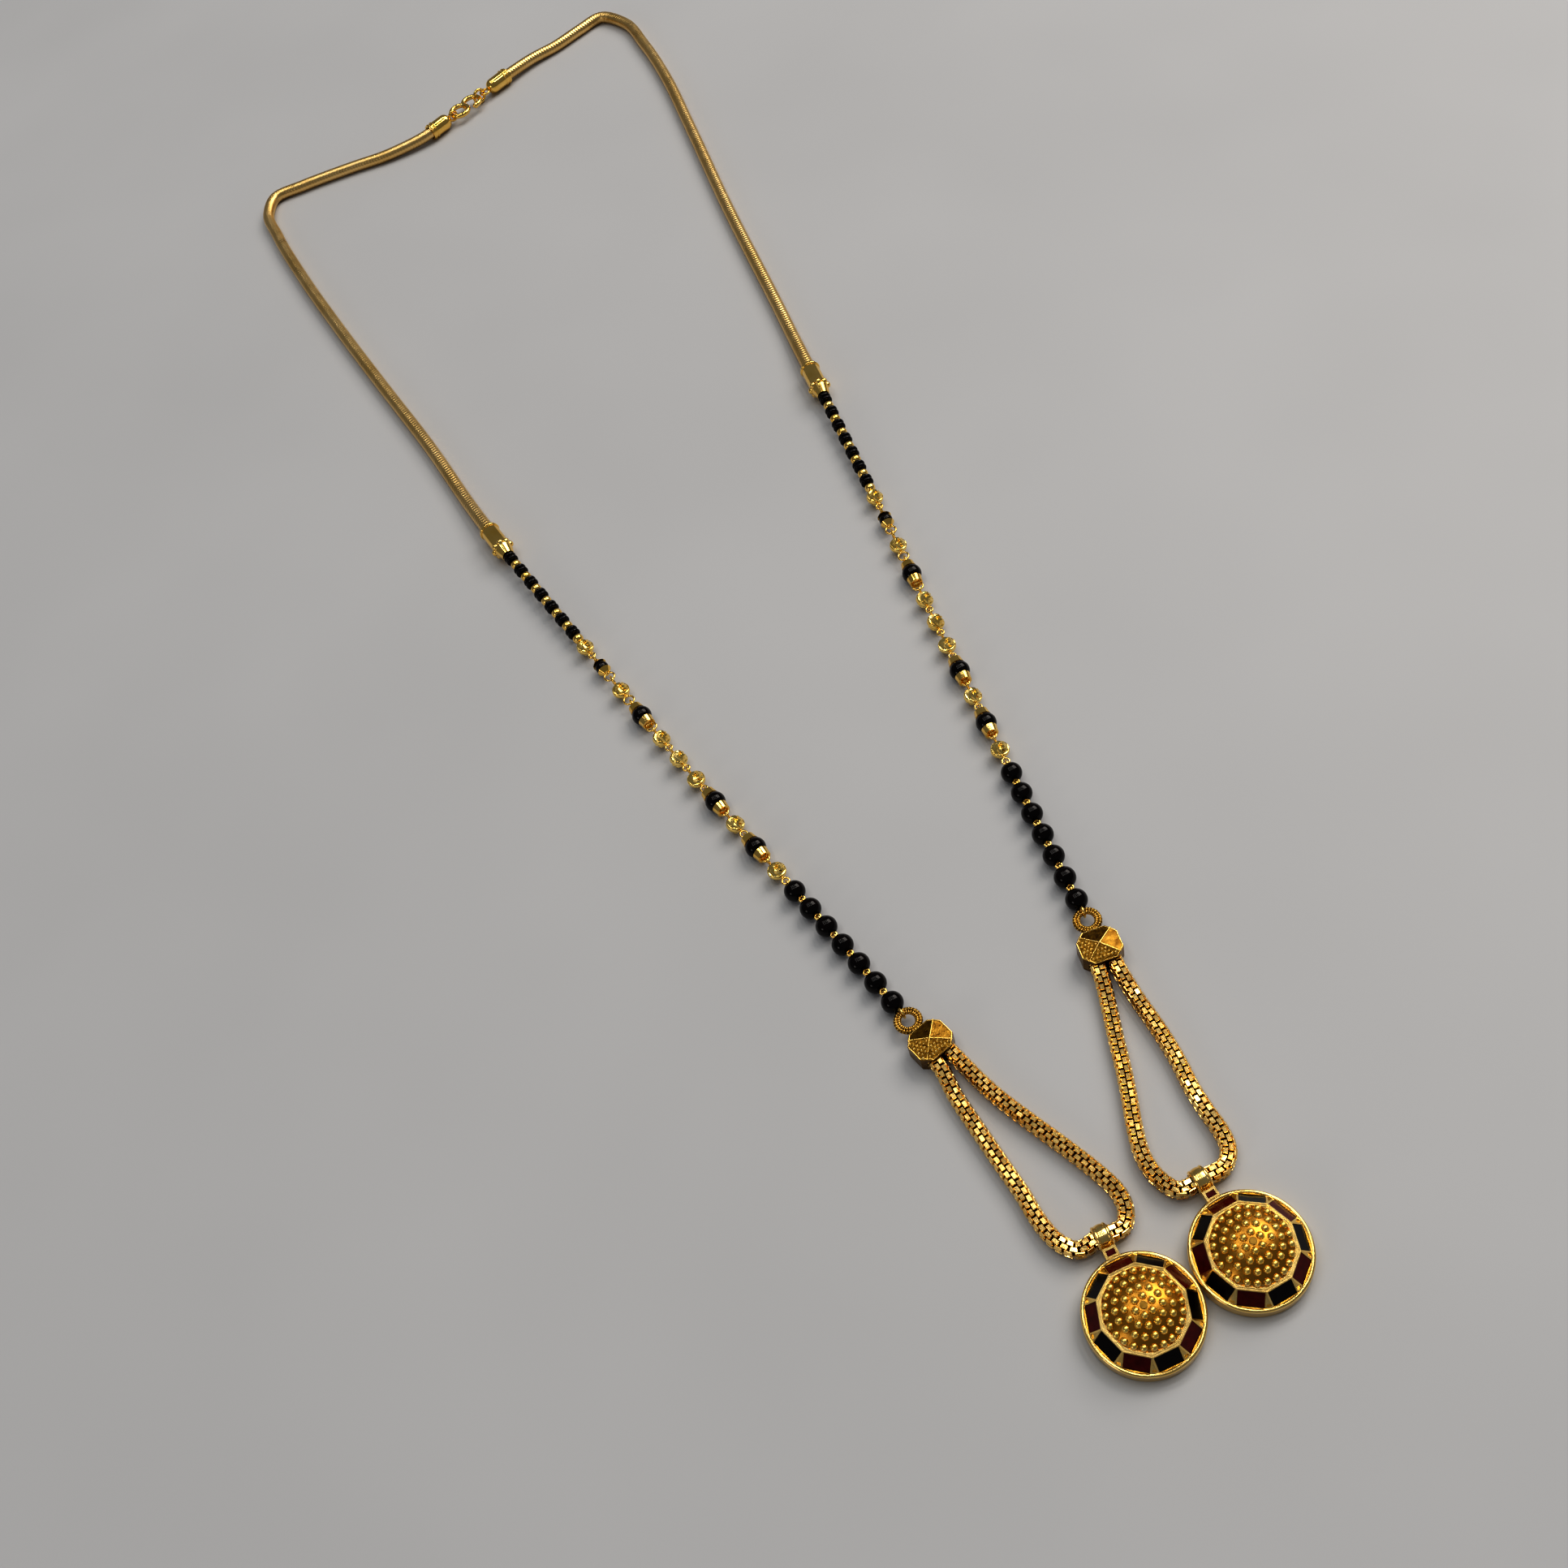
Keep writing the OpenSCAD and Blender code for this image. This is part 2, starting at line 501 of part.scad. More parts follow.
module pendant_form() {
    difference() {
        union() {
            cup_shell();
            crown_granules();
            bail();
        }
        cup_cavity();
        for (k = [0 : panel_count - 1]) {
            on_slope(k) translate([0, band_len / 2, -pocket_t])
                box(panel_l + 2 * enamel_gap, panel_w + 2 * enamel_gap, pocket_t + rim_w);
            on_corner(k) translate([0, 0, -recess_t]) linear_extrude(height = recess_t + rim_w)
                polygon([[-0.3, 0.16 * corner_len], [0.3, 0.16 * corner_len], [0, 0.72 * corner_len]]);
        }
        spot_place() translate([0, 0, -pocket_t])
            box(spot_l + 2 * enamel_gap, spot_w + 2 * enamel_gap, pocket_t + rim_w);
    }
}
module at_pendant(s) {
    translate(with_height(pendant_place(s), 0)) rotate([0, 0, pendant_turn[s]])
        translate([0, -pendant_d / 2, 0]) rotate([pendant_lean, 0, 0]) translate([0, pendant_d / 2, 0]) children();
}
module pendant(s) { color(GOLD) at_pendant(s) pendant_form(); }
module enamel_panels(first) {
    for (k = [first : 2 : panel_count - 1])
        on_slope(k) translate([0, band_len / 2, enamel_gap - pocket_t]) box(panel_l, panel_w, enamel_t);
}
module red_enamel(s) {
    color(RED) at_pendant(s) {
        enamel_panels(0);
        spot_place() translate([0, 0, enamel_gap - pocket_t]) box(spot_l, spot_w, enamel_t);
    }
}
module black_enamel(s) { color(BLACK) at_pendant(s) enamel_panels(1); }

module mesh_chain(s) {
    path = [for (p = curve(mesh_route(s), 3)) on_ground(p)];
    color(GOLD) sweep(path, rounded_section(mesh_w, mesh_w, mesh_corner));
}

module gable(w, l) {
    rotate([90, 0, 0]) linear_extrude(height = l, center = true) polygon([
        [-w / 2 + over, 0], [w / 2 - over, 0], [w / 2, over], [w / 2, connector_h],
        [0, connector_h + connector_rise], [-w / 2, connector_h], [-w / 2, over]]);
}
module connector_form() {
    w = connector_w / 2;
    l = connector_l / 2;
    c = connector_cut;
    difference() {
        intersection() {
            gable(connector_w, connector_l);
            rotate([0, 0, 90]) gable(connector_l, connector_w);
            linear_extrude(height = connector_h + connector_rise) polygon([
                [-w + c, -l], [w - c, -l], [w, -l + c], [w, l - c], [w - c, l], [-w + c, l], [-w, l - c], [-w, -l + c]]);
        }
        translate([0, -l - over, socket_mid_h]) rotate([-90, 0, 0]) linear_extrude(height = socket_depth + over)
            polygon(rounded_section(socket_pitch + 2 * socket_r, 2 * socket_r, mesh_corner + socket_gap));
    }
    translate([0, ring_y, ring_h]) {
        torus(ring_in_r, ring_wire_d / 2);
        torus(ring_out_r, ring_wire_d / 2);
    }
    translate([-ring_wire_d, l - over, ring_h - ring_wire_d / 2])
        cube([2 * ring_wire_d, ring_neck_l + ring_wire_d, ring_wire_d]);
}
module connector(s) {
    color(GOLD) translate(with_height(connector_place(s), 0)) rotate([0, 0, connector_turn(s)]) connector_form();
}

// Turns a half profile, given as [out, along], around the strand and leaves the pin's bore and the dimples
module drilled(dimples) {
    rotate([0, 90, 0]) rotate_extrude($fn = fine) difference() {
        children();
        translate([-bead_d, -bead_d]) square([bead_d + bore_r, 2 * bead_d]);
        for (d = dimples) translate([0, d[0]]) circle(r = d[1] + dimple_gap, $fn = fine);
    }
}
module black_bead(s, i) {
    color(BLACK) at_unit(s, i)
        if (UNITS[i] == "small")
            drilled([]) intersection() {
                circle(d = small_d, $fn = fine);
                square([2 * small_d, small_l], center = true);
            }
        else if (UNITS[i] == "capped")
            drilled([]) circle(d = bead_d, $fn = fine);
        else
            drilled([[-seat(i) - low_eye_r(i), low_eye_r(i)], [seat(i) + eye_r(i), eye_r(i)]])
                circle(d = bead_d, $fn = fine);
}
module gold_ball(s, i) {
    color(PALE_GOLD) at_unit(s, i) difference() {
        union() {
            sphere(d = ball_d, $fn = 12);
            intersection() {
                sphere(d = ball_d, $fn = fine);
                translate([0, 0, -ball_band_w / 2]) cylinder(d = 2 * ball_d, h = ball_band_w, $fn = coarse);
            }
        }
        translate([-ball_d, 0, 0]) rod(bore_r, 2 * ball_d);
    }
}
module bead_cap() {
    mouth = cap_reach - cap_wall - 0.75;
    lip_r = cap_back_d / 2;
    lip_w = 0.25;
    rotate([0, 90, 0]) rotate_extrude($fn = fine) difference() {
        polygon([
            [0, mouth], [cap_mouth_d / 2, mouth], [lip_r, cap_reach + cap_lip_h],
            [lip_r - lip_w, cap_reach + cap_lip_h], [lip_r - lip_w, cap_reach], [0, cap_reach]]);
        circle(r = bead_d / 2 + pin_gap, $fn = fine);
    }
}
module cone_cap() { translate([small_reach - cone_l, 0, 0]) cone_rod(cone_mouth_d / 2, cone_back_d / 2, cone_l); }
module pin(i, l) {
    translate([-seat(i), 0, 0]) rod(pin_rod_d / 2, l);
    translate([-seat(i) - low_eye_r(i), 0, 0]) eye(low_eye_r(i), pin_r, i == 0);
}
module eye_pins(s) {
    color(GOLD) {
        for (i = [0 : last_unit - 1]) at_unit(s, i) {
            pin(i, 2 * seat(i));
            translate([seat(i) + eye_r(i), 0, 0]) eye(eye_r(i), pin_r, true);
            if (UNITS[i] == "capped") for (m = [0, 1]) mirror([m, 0, 0]) bead_cap();
            if (UNITS[i] == "small") for (m = [0, 1]) mirror([m, 0, 0]) cone_cap();
        }
        at_unit(s, last_unit)
            pin(last_unit, seat(last_unit) - low_reach(last_unit) + seed_len + wire_in_cap - seed_gap);
    }
}

module seed_steps() {
    for (n = [0 : seed_count - 1]) translate([seed_start + n * seed_step, 0, 0]) children();
}
module gold_seeds(s) {
    color(PALE_GOLD) on_last_pin(s) seed_steps()
        translate([seed_d / 2, 0, 0]) drilled([]) circle(d = seed_d, $fn = coarse);
}
module rondelle() {
    r = rondelle_t / 2;
    drilled([]) {
        translate([0, -r]) square([rondelle_d / 2 - r, rondelle_t]);
        translate([rondelle_d / 2 - r, 0]) circle(r = r, $fn = coarse);
    }
}
module black_rondelles(s) {
    color(BLACK) on_last_pin(s) seed_steps() for (n = [0, 1])
        translate([seed_d + seed_gap + rondelle_t / 2 + n * (rondelle_t + seed_gap), 0, 0]) rondelle();
}

module collar(l) {
    difference() {
        rod(collar_d / 2, l);
        translate([l - collar_depth, 0, 0]) rod(snake_d / 2 + collar_gap, collar_depth + over);
    }
}
module end_cap(s) {
    color(PALE_GOLD) along(at(s, cap_run), at(s, cap_run + cap_len)) difference() {
        union() {
            cone_rod(bell_small_d / 2, collar_d / 2, bell_l);
            translate([bell_l - over, 0, 0]) rod(collar_d / 2, cap_granule_d * 0.6 + 2 * over);
            for (n = [0 : 7]) translate([bell_l + cap_granule_d * 0.3, 0, 0]) rotate([n * 45, 0, 0])
                translate([0, 0, granule_ring_r]) sphere(d = cap_granule_d, $fn = coarse);
            translate([cap_len - collar_l, 0, 0]) collar(collar_l);
            translate([cap_len - 0.5, 0, 0]) hoop(collar_d / 2, 0.2);
        }
        translate([-over, 0, 0]) rod(bore_r, wire_in_cap + 2 * over);
        translate([snake_in_cap, 0, 0]) rod(snake_d / 2 + collar_gap, collar_depth + 1);
    }
}
module snake_chain(s) {
    start = cap_run + snake_in_cap + 0.2;
    stop = last(RUN[s]);
    path = concat([at(s, start)], [for (r = RUN[s]) if (r > start + 0.5 && r < stop - 0.5) at(s, r)], [at(s, stop)]);
    color(GOLD) sweep(path, round_section(snake_d / 2, snake_sides));
}

module clasp_cap(s) {
    color(GOLD) along(clasp_mouth(s), clasp_mouth(1 - s)) {
        difference() {
            union() {
                rod(collar_d / 2, clasp_cap_l - collar_d / 2);
                translate([clasp_cap_l - collar_d / 2, 0, 0]) sphere(d = collar_d, $fn = fine);
                for (x = [0.4, 1.2]) translate([x, 0, 0]) hoop(collar_d / 2 - 0.05, 0.2);
            }
            translate([-over - 0.5, 0, 0]) rod(snake_d / 2 + collar_gap, collar_depth + over + 0.5);
        }
        translate([clasp_cap_l + clasp_eye_r, 0, 0]) eye(clasp_eye_r, clasp_eye_wire_r, s == 0);
    }
}
module on_clasp(x) { translate(clasp_point(x)) rotate([0, 0, clasp_turn]) children(); }
module clasp_hook() {
    open = 80;
    tip_d = 1.15 * hook_wire_d;
    color(GOLD) {
        on_clasp(hook_left_x) torus(hook_r, hook_wire_r);
        on_clasp(hook_right_x) {
            rotate([0, 0, 180 + open - 360]) rotate_extrude(angle = 360 - open, $fn = fine)
                translate([hook_r, 0]) circle(r = hook_wire_r, $fn = coarse);
            rotate([0, 0, 180 + open]) translate([hook_r, 0, 0]) sphere(d = tip_d, $fn = coarse);
        }
    }
}
module clasp_ring() { color(GOLD) on_clasp(jump_x) eye(jump_r, jump_wire_r, true); }

for (s = [0, 1]) {
    pendant(s);
    red_enamel(s);
    black_enamel(s);
    mesh_chain(s);
    connector(s);
    eye_pins(s);
    gold_seeds(s);
    black_rondelles(s);
    end_cap(s);
    snake_chain(s);
    clasp_cap(s);
    for (n = [1 : len(BLACKS)])
        black_bead(s, BLACKS[n - 1]);
    for (n = [1 : len(GOLDS)])
        gold_ball(s, GOLDS[n - 1]);
}
clasp_hook();
clasp_ring();
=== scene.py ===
"""Looks of the mangalsutra: woven mesh chains, ribbed snake chains, diamond-cut balls, enamel and gold."""
import math
import random

import bpy
import numpy as np
from mathutils import Matrix, Vector


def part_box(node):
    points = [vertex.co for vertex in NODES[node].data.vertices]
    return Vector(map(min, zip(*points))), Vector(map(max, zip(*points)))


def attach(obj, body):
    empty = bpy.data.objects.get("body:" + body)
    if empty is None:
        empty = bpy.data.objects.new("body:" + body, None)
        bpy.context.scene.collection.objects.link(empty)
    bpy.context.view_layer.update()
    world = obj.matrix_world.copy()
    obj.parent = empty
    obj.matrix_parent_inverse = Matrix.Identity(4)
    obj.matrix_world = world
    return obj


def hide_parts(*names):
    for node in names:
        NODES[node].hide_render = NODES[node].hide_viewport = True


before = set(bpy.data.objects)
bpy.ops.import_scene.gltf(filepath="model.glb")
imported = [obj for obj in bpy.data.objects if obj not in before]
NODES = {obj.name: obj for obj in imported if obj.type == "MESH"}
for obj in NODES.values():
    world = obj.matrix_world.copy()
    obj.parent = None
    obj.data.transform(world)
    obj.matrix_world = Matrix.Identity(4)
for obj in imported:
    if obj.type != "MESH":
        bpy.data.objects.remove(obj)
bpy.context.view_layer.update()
MM = 0.001
SIDES = ("left", "right")
chance = random.Random(22)

# Places and sizes of the part, in millimetres, and turns in degrees
MESH_ROUTE = {
    "left": [
        (-5.124, -105.149, 1.35), (-4.857, -106.113, 1.35), (-4.589, -107.076, 1.35),
        (-4.522, -111.656, 0.9), (-4.022, -117.156, 0.9), (-3.522, -122.156, 0.9), (-3.022, -126.756, 0.9),
        (-2.822, -130.756, 1.013), (-2.022, -133.956, 1.187), (-0.322, -135.856, 1.333),
        (1.667, -135.73, 1.55), (2.678, -135.756, 1.55), (3.688, -135.783, 1.55), (5.378, -135.756, 1.355),
        (6.678, -134.156, 1.239), (6.978, -131.856, 1.131), (6.178, -128.756, 0.985),
        (4.578, -124.756, 0.9), (2.378, -119.856, 0.9), (-0.222, -113.756, 0.9), (-2.373, -106.462, 1.35),
        (-2.64, -105.498, 1.35), (-2.907, -104.534, 1.35)],
    "right": [
        (19.592, -103.207, 1.35), (19.452, -104.197, 1.35), (19.313, -105.187, 1.35),
        (17.986, -109.971, 0.9), (16.486, -114.571, 0.9), (15.186, -118.771, 0.9), (13.886, -122.471, 0.9),
        (12.586, -125.971, 0.9), (11.686, -129.571, 1.051), (12.086, -132.971, 1.233),
        (13.386, -134.971, 1.362), (14.977, -135.033, 1.55), (15.986, -134.971, 1.55),
        (16.995, -134.909, 1.55), (19.186, -134.771, 1.318), (20.786, -133.271, 1.182),
        (21.286, -130.971, 1.07), (21.186, -127.971, 0.92), (21.186, -124.471, 0.9),
        (21.586, -120.471, 0.9), (21.686, -115.871, 0.9), (21.486, -110.671, 0.9),
        (21.591, -105.508, 1.35), (21.73, -104.517, 1.35), (21.869, -103.527, 1.35)]}
STRAND_ROUTE = {
    "left": [
        (-5.609, -98.728), (-8.1, -86.5), (-13.1, -64), (-18.1, -40), (-22.6, -16.5), (-26.9, 5),
        (-29.4, 20), (-32.2, 42), (-35.8, 64), (-39.1, 85), (-42, 106), (-43.7, 124), (-43.8, 132),
        (-41.1, 137), (-35.1, 137), (-24.1, 135.9), (-13.1, 134.3), (-5.787, 134.834), (-3.025, 136.006)],
    "right": [
        (21.535, -97.1), (22.5, -86), (24.5, -65), (26.5, -44), (28.9, -22), (31.1, -1), (32.6, 17),
        (34.8, 38), (37.8, 70), (41.3, 100), (43.4, 120), (43.8, 134), (42.9, 145.5), (39.4, 150.9),
        (33.9, 149.6), (27.9, 147.6), (21.4, 146.2), (14.787, 143.566), (12.025, 142.394)]}
# Equal steps that the part cuts each stretch of a route into
MESH_STEPS = 3
STRAND_STEPS = 5
# Runs along a strand, counted from the connector's ring, and heights of its middle line over the ground. The snake
# chain comes down to the ground within SNAKE_SETTLE of its collars
SNAKE_START = 113.43
END_CAP_START = 108.64
END_CAP_STOP = 116.43
END_CAP_H = 1.975
SNAKE_H = 1.117
SNAKE_R = 2.35 / 2
SNAKE_SETTLE = 12
CLASP_H = 1.7
COLLAR_DEPTH = 3.2
MESH_W = 1.8
MESH_CORNER = 0.5
CONNECTOR_PLACE = {"left": ((-4.122, -104.456), 15.5), "right": ((20.786, -102.971), -8.0)}
CONNECTOR_HALF_W = 2.75
CONNECTOR_HALF_L = 2.4
CONNECTOR_H = 2.7
CONNECTOR_RISE = 0.7
CONNECTOR_CUT = 1.2
# On a cut corner, the distances across and along from the middle add up to this
CONNECTOR_CORNER = CONNECTOR_HALF_W + CONNECTOR_HALF_L - CONNECTOR_CUT
PENDANT_PLACE = {"left": ((2.425, -145.4), -1.5), "right": ((16.575, -144.6), 3.5)}
PENDANT_LEAN = 2.577
PENDANT_R = 7.0
CROWN_R = 4.6
# The crown's granules sit on a ball: its radius, and its middle's height over the pendant's foot
CROWN_BALL_R = 6.47
CROWN_BALL_H = -1.07
DOT_R = 0.44
DOT_H = 5.55
RING_Y = 4.505
RING_H = 1.5
RING_RADII = (1.205, 1.625)
RING_WIRE_R = 0.28
BALL_R = 2.7 / 2
# Kinds of beads on a side, from the connector up
ORDER = ("black", "black", "black", "black", "black", "black", "black", "gold", "black", "gold", "black",
         "gold", "gold", "gold", "black", "gold", "black", "gold")


def placed(place, p):
    """A point of a piece that is turned on the ground and moved to its place."""
    (x, y), turn = place
    c = math.cos(math.radians(turn))
    s = math.sin(math.radians(turn))
    return np.array((x + p[0] * c - p[1] * s, y + p[0] * s + p[1] * c, p[2]))


def on_pendant(side, p):
    """A point of a pendant, which leans on the near edge of its rim, given from the middle of its foot."""
    c = math.cos(math.radians(PENDANT_LEAN))
    s = math.sin(math.radians(PENDANT_LEAN))
    run = p[1] + PENDANT_R
    return placed(PENDANT_PLACE[side], (p[0], run * c - p[2] * s - PENDANT_R, run * s + p[2] * c))


def on_connector(side, p):
    """A point of a connector, given from the middle of its foot."""
    return placed(CONNECTOR_PLACE[side], p)


# Camera: a hand-held phone over the near left side, with its pitch down, roll and heading in degrees
CAMERA_FOCAL_PX = 2000.0
CAMERA_FRAME_PX = 1932.0
CAMERA_ANGLES = (54.2, 20.1, 6.617)
CAMERA_PLACE = (-20.65, -193.08, 190.01)


def add_camera():
    pitch, roll, heading = (math.radians(a) for a in CAMERA_ANGLES)
    ahead = Vector((math.sin(heading), math.cos(heading), 0))
    right = Vector((math.cos(heading), -math.sin(heading), 0))
    up = Vector((0, 0, 1))
    look = ahead * math.cos(pitch) - up * math.sin(pitch)
    level_up = ahead * math.sin(pitch) + up * math.cos(pitch)
    x = right * math.cos(roll) - level_up * math.sin(roll)
    y = right * math.sin(roll) + level_up * math.cos(roll)
    data = bpy.data.cameras.new("camera")
    data.sensor_width = 36.0
    data.lens = data.sensor_width * CAMERA_FOCAL_PX / CAMERA_FRAME_PX
    data.clip_start = 0.01
    data.clip_end = 20
    camera = bpy.data.objects.new("camera", data)
    turn = Matrix((x, y, -look)).transposed().to_4x4()
    camera.matrix_world = Matrix.Translation(Vector(CAMERA_PLACE) * MM) @ turn
    bpy.context.collection.objects.link(camera)
    bpy.context.scene.camera = camera


add_camera()


# Colours and nodes
def linear(code):
    """The linear colour of an sRGB hex value."""
    parts = [int(code[i:i + 2], 16) / 255 for i in (1, 3, 5)]
    return tuple(p / 12.92 if p <= 0.04045 else ((p + 0.055) / 1.055) ** 2.4 for p in parts) + (1.0,)


def add_node(tree, kind, settings=None, links=None, stops=(), **attributes):
    """Adds a node: its attributes, input values, links from other nodes' outputs, and a ramp's two stops."""
    node = tree.nodes.new("ShaderNode" + kind)
    for name, value in attributes.items():
        setattr(node, name, value)
    for name, value in (settings or {}).items():
        node.inputs[name].default_value = value
    for name, source in (links or {}).items():
        tree.links.new(source, node.inputs[name])
    for n, (position, code) in enumerate(stops):
        node.color_ramp.elements[n].position = position
        node.color_ramp.elements[n].color = linear(code)
    return node


def new_material(name, settings):
    """A material with one Principled shader whose sockets are set from settings."""
    material = bpy.data.materials.new(name)
    material.use_nodes = True
    tree = material.node_tree
    tree.nodes.clear()
    shader = add_node(tree, "BsdfPrincipled", settings)
    out = add_node(tree, "OutputMaterial")
    tree.links.new(shader.outputs["BSDF"], out.inputs["Surface"])
    return material, tree, shader


def per_mm(size_mm):
    """Scale of a pattern whose features are size_mm across."""
    return 1 / (size_mm * MM)


def tones(dark, light):
    """Ramp stops of two tones, over the range that a noise mostly takes."""
    return (0.3, dark), (0.7, light)


def gold(name, stops, roughness, tone_mm, wear_mm, mark_mm, mark_depth_mm):
    """Gold alloy: tone and polish vary a little over the surface, and fine marks break up the reflections."""
    material, tree, shader = new_material(name, {"Metallic": 1.0})
    place = add_node(tree, "TexCoord").outputs["Object"]
    tone = add_node(tree, "TexNoise", {"Scale": per_mm(tone_mm), "Detail": 3.0}, {"Vector": place})
    colour = add_node(tree, "ValToRGB", links={"Fac": tone.outputs["Fac"]}, stops=stops)
    wear = add_node(tree, "TexNoise", {"Scale": per_mm(wear_mm), "Detail": 5.0}, {"Vector": place})
    polish = add_node(tree, "MapRange", {"To Min": roughness[0], "To Max": roughness[1]},
                      {"Value": wear.outputs["Fac"]})
    marks = add_node(tree, "TexNoise", {"Scale": per_mm(mark_mm), "Detail": 2.0}, {"Vector": place})
    bump = add_node(tree, "Bump", {"Strength": 1.0, "Distance": mark_depth_mm * MM},
                    {"Height": marks.outputs["Fac"]})
    tree.links.new(colour.outputs["Color"], shader.inputs["Base Color"])
    tree.links.new(polish.outputs["Result"], shader.inputs["Roughness"])
    tree.links.new(bump.outputs["Normal"], shader.inputs["Normal"])
    return material


# Cast and polished 22 karat gold: deep yellow, near-mirror, with the soft waves that hand polishing leaves
POLISHED_GOLD = gold("polished_22k_gold", tones("#F5C866", "#FFDA88"), roughness=(0.07, 0.18),
                     tone_mm=4.0, wear_mm=1.2, mark_mm=0.5, mark_depth_mm=0.004)
# Drawn and rolled 22 karat wire, woven: flats polished by wear, a little redder than the cast parts
WOVEN_GOLD = gold("woven_22k_gold_links", tones("#EFC270", "#FCDA90"), roughness=(0.1, 0.2),
                  tone_mm=2.0, wear_mm=0.6, mark_mm=0.4, mark_depth_mm=0.003)
# Inside of the weave: the same wire, unpolished, its colour painted almost black as shade so that the holes read
# dark
WEAVE_CORE_PAINTED_SHADE = gold("painted_shade_inside_weave", tones("#1C1204", "#34220A"), roughness=(0.5, 0.7),
                  tone_mm=1.0, wear_mm=0.4, mark_mm=0.2, mark_depth_mm=0.02)
# Tightly wound snake chain: fine ribs scatter the light into a satin, ochre tone
SATIN_GOLD = gold("satin_snake_chain_gold", tones("#E2BC76", "#F0CE90"), roughness=(0.22, 0.38),
                  tone_mm=6.0, wear_mm=1.5, mark_mm=0.25, mark_depth_mm=0.008)
# Diamond-cut 22 karat gold: bright flat facets left by the cutter, their mirror softened a little by handling
CUT_GOLD = gold("diamond_cut_22k_gold", tones("#FBD474", "#FFE394"), roughness=(0.12, 0.22),
                tone_mm=3.0, wear_mm=0.8, mark_mm=0.4, mark_depth_mm=0.001)
# Struck 22 karat gold of the connectors: a grainy skin that breaks the light into sparkles, on a ground painted
# dark brown-gold as painted shade, standing for the dark room that the facets mirror
STRUCK_GOLD_WITH_PAINTED_SHADE = gold("struck_22k_gold_painted_shade", tones("#5C3E14", "#94702C"), roughness=(0.2, 0.4),
                   tone_mm=0.8, wear_mm=0.5, mark_mm=0.3, mark_depth_mm=0.06)
# Left matt on purpose: the flat dot in the crown's middle, which looks dull and brown beside the granules
MATT_GOLD = gold("matt_22k_gold", tones("#8A6A30", "#A9843E"), roughness=(0.45, 0.6),
                 tone_mm=0.5, wear_mm=0.3, mark_mm=0.12, mark_depth_mm=0.01)

# Pendants' gold: satin granules, a burnished frame and rim, and the sizes of the patterns in tone and wear
GRANULE_TONES = tones("#FDD068", "#FFDC80")
GRANULE_ROUGHNESS = (0.22, 0.34)
RIM_TONES = tones("#F7D07C", "#FFDE94")
RIM_ROUGHNESS = (0.12, 0.26)
PENDANT_TONE_MM = 1.5
PENDANT_WEAR_MM = 0.5
# The crown's finish gives way to the frame's within this distance of the crown's edge
CROWN_BLEND = 0.1
# Painted shade: a brown in the valleys between the granules, which fades between these heights over the crown's
# ball
VALLEY_PAINTED_SHADE = "#B47824"
VALLEY_LOW = -0.03
VALLEY_HIGH = 0.15


def pendant_gold(side):
    """Cast 22 karat gold: granules bright on top with painted shade, brown, in the valleys, frame and rim burnished
    pale.
    """
    material, tree, shader = new_material("granulated_22k_gold_" + side, {"Metallic": 1.0})
    place = add_node(tree, "TexCoord").outputs["Object"]
    x, y = PENDANT_PLACE[side][0]
    flat = add_node(tree, "VectorMath", {1: (1.0, 1.0, 0.0)}, {0: place}, operation="MULTIPLY")
    reach = add_node(tree, "VectorMath", {1: (x * MM, y * MM, 0.0)}, {0: flat.outputs["Vector"]},
                     operation="DISTANCE")
    outside = add_node(tree, "MapRange", {"From Min": (CROWN_R - CROWN_BLEND) * MM,
                                          "From Max": (CROWN_R + CROWN_BLEND) * MM},
                       {"Value": reach.outputs["Value"]})
    middle = on_pendant(side, (0, 0, CROWN_BALL_H)) * MM
    rise = add_node(tree, "VectorMath", {1: tuple(middle)}, {0: place}, operation="DISTANCE")
    unshaded_share = add_node(tree, "MapRange", {"From Min": (CROWN_BALL_R + VALLEY_LOW) * MM,
                                        "From Max": (CROWN_BALL_R + VALLEY_HIGH) * MM},
                     {"Value": rise.outputs["Value"]})
    tone = add_node(tree, "TexNoise", {"Scale": per_mm(PENDANT_TONE_MM), "Detail": 3.0}, {"Vector": place})
    granule = add_node(tree, "ValToRGB", links={"Fac": tone.outputs["Fac"]}, stops=GRANULE_TONES)
    # Painted shade: below the granules' tops the colour is mixed toward the valleys' brown
    crown = add_node(tree, "Mix", {6: linear(VALLEY_PAINTED_SHADE)},
                     {0: unshaded_share.outputs["Result"], 7: granule.outputs["Color"]}, data_type="RGBA")
    rim = add_node(tree, "ValToRGB", links={"Fac": tone.outputs["Fac"]}, stops=RIM_TONES)
    colour = add_node(tree, "Mix", {}, {0: outside.outputs["Result"], 6: crown.outputs[2],
                                        7: rim.outputs["Color"]}, data_type="RGBA")
    wear = add_node(tree, "TexNoise", {"Scale": per_mm(PENDANT_WEAR_MM), "Detail": 4.0}, {"Vector": place})
    satin = add_node(tree, "MapRange", {"To Min": GRANULE_ROUGHNESS[0], "To Max": GRANULE_ROUGHNESS[1]},
                     {"Value": wear.outputs["Fac"]})
    burnished = add_node(tree, "MapRange", {"To Min": RIM_ROUGHNESS[0], "To Max": RIM_ROUGHNESS[1]},
                         {"Value": wear.outputs["Fac"]})
    polish = add_node(tree, "Mix", {}, {0: outside.outputs["Result"], 2: satin.outputs["Result"],
                                        3: burnished.outputs["Result"]}, data_type="FLOAT")
    tree.links.new(colour.outputs[2], shader.inputs["Base Color"])
    tree.links.new(polish.outputs[0], shader.inputs["Roughness"])
    return material


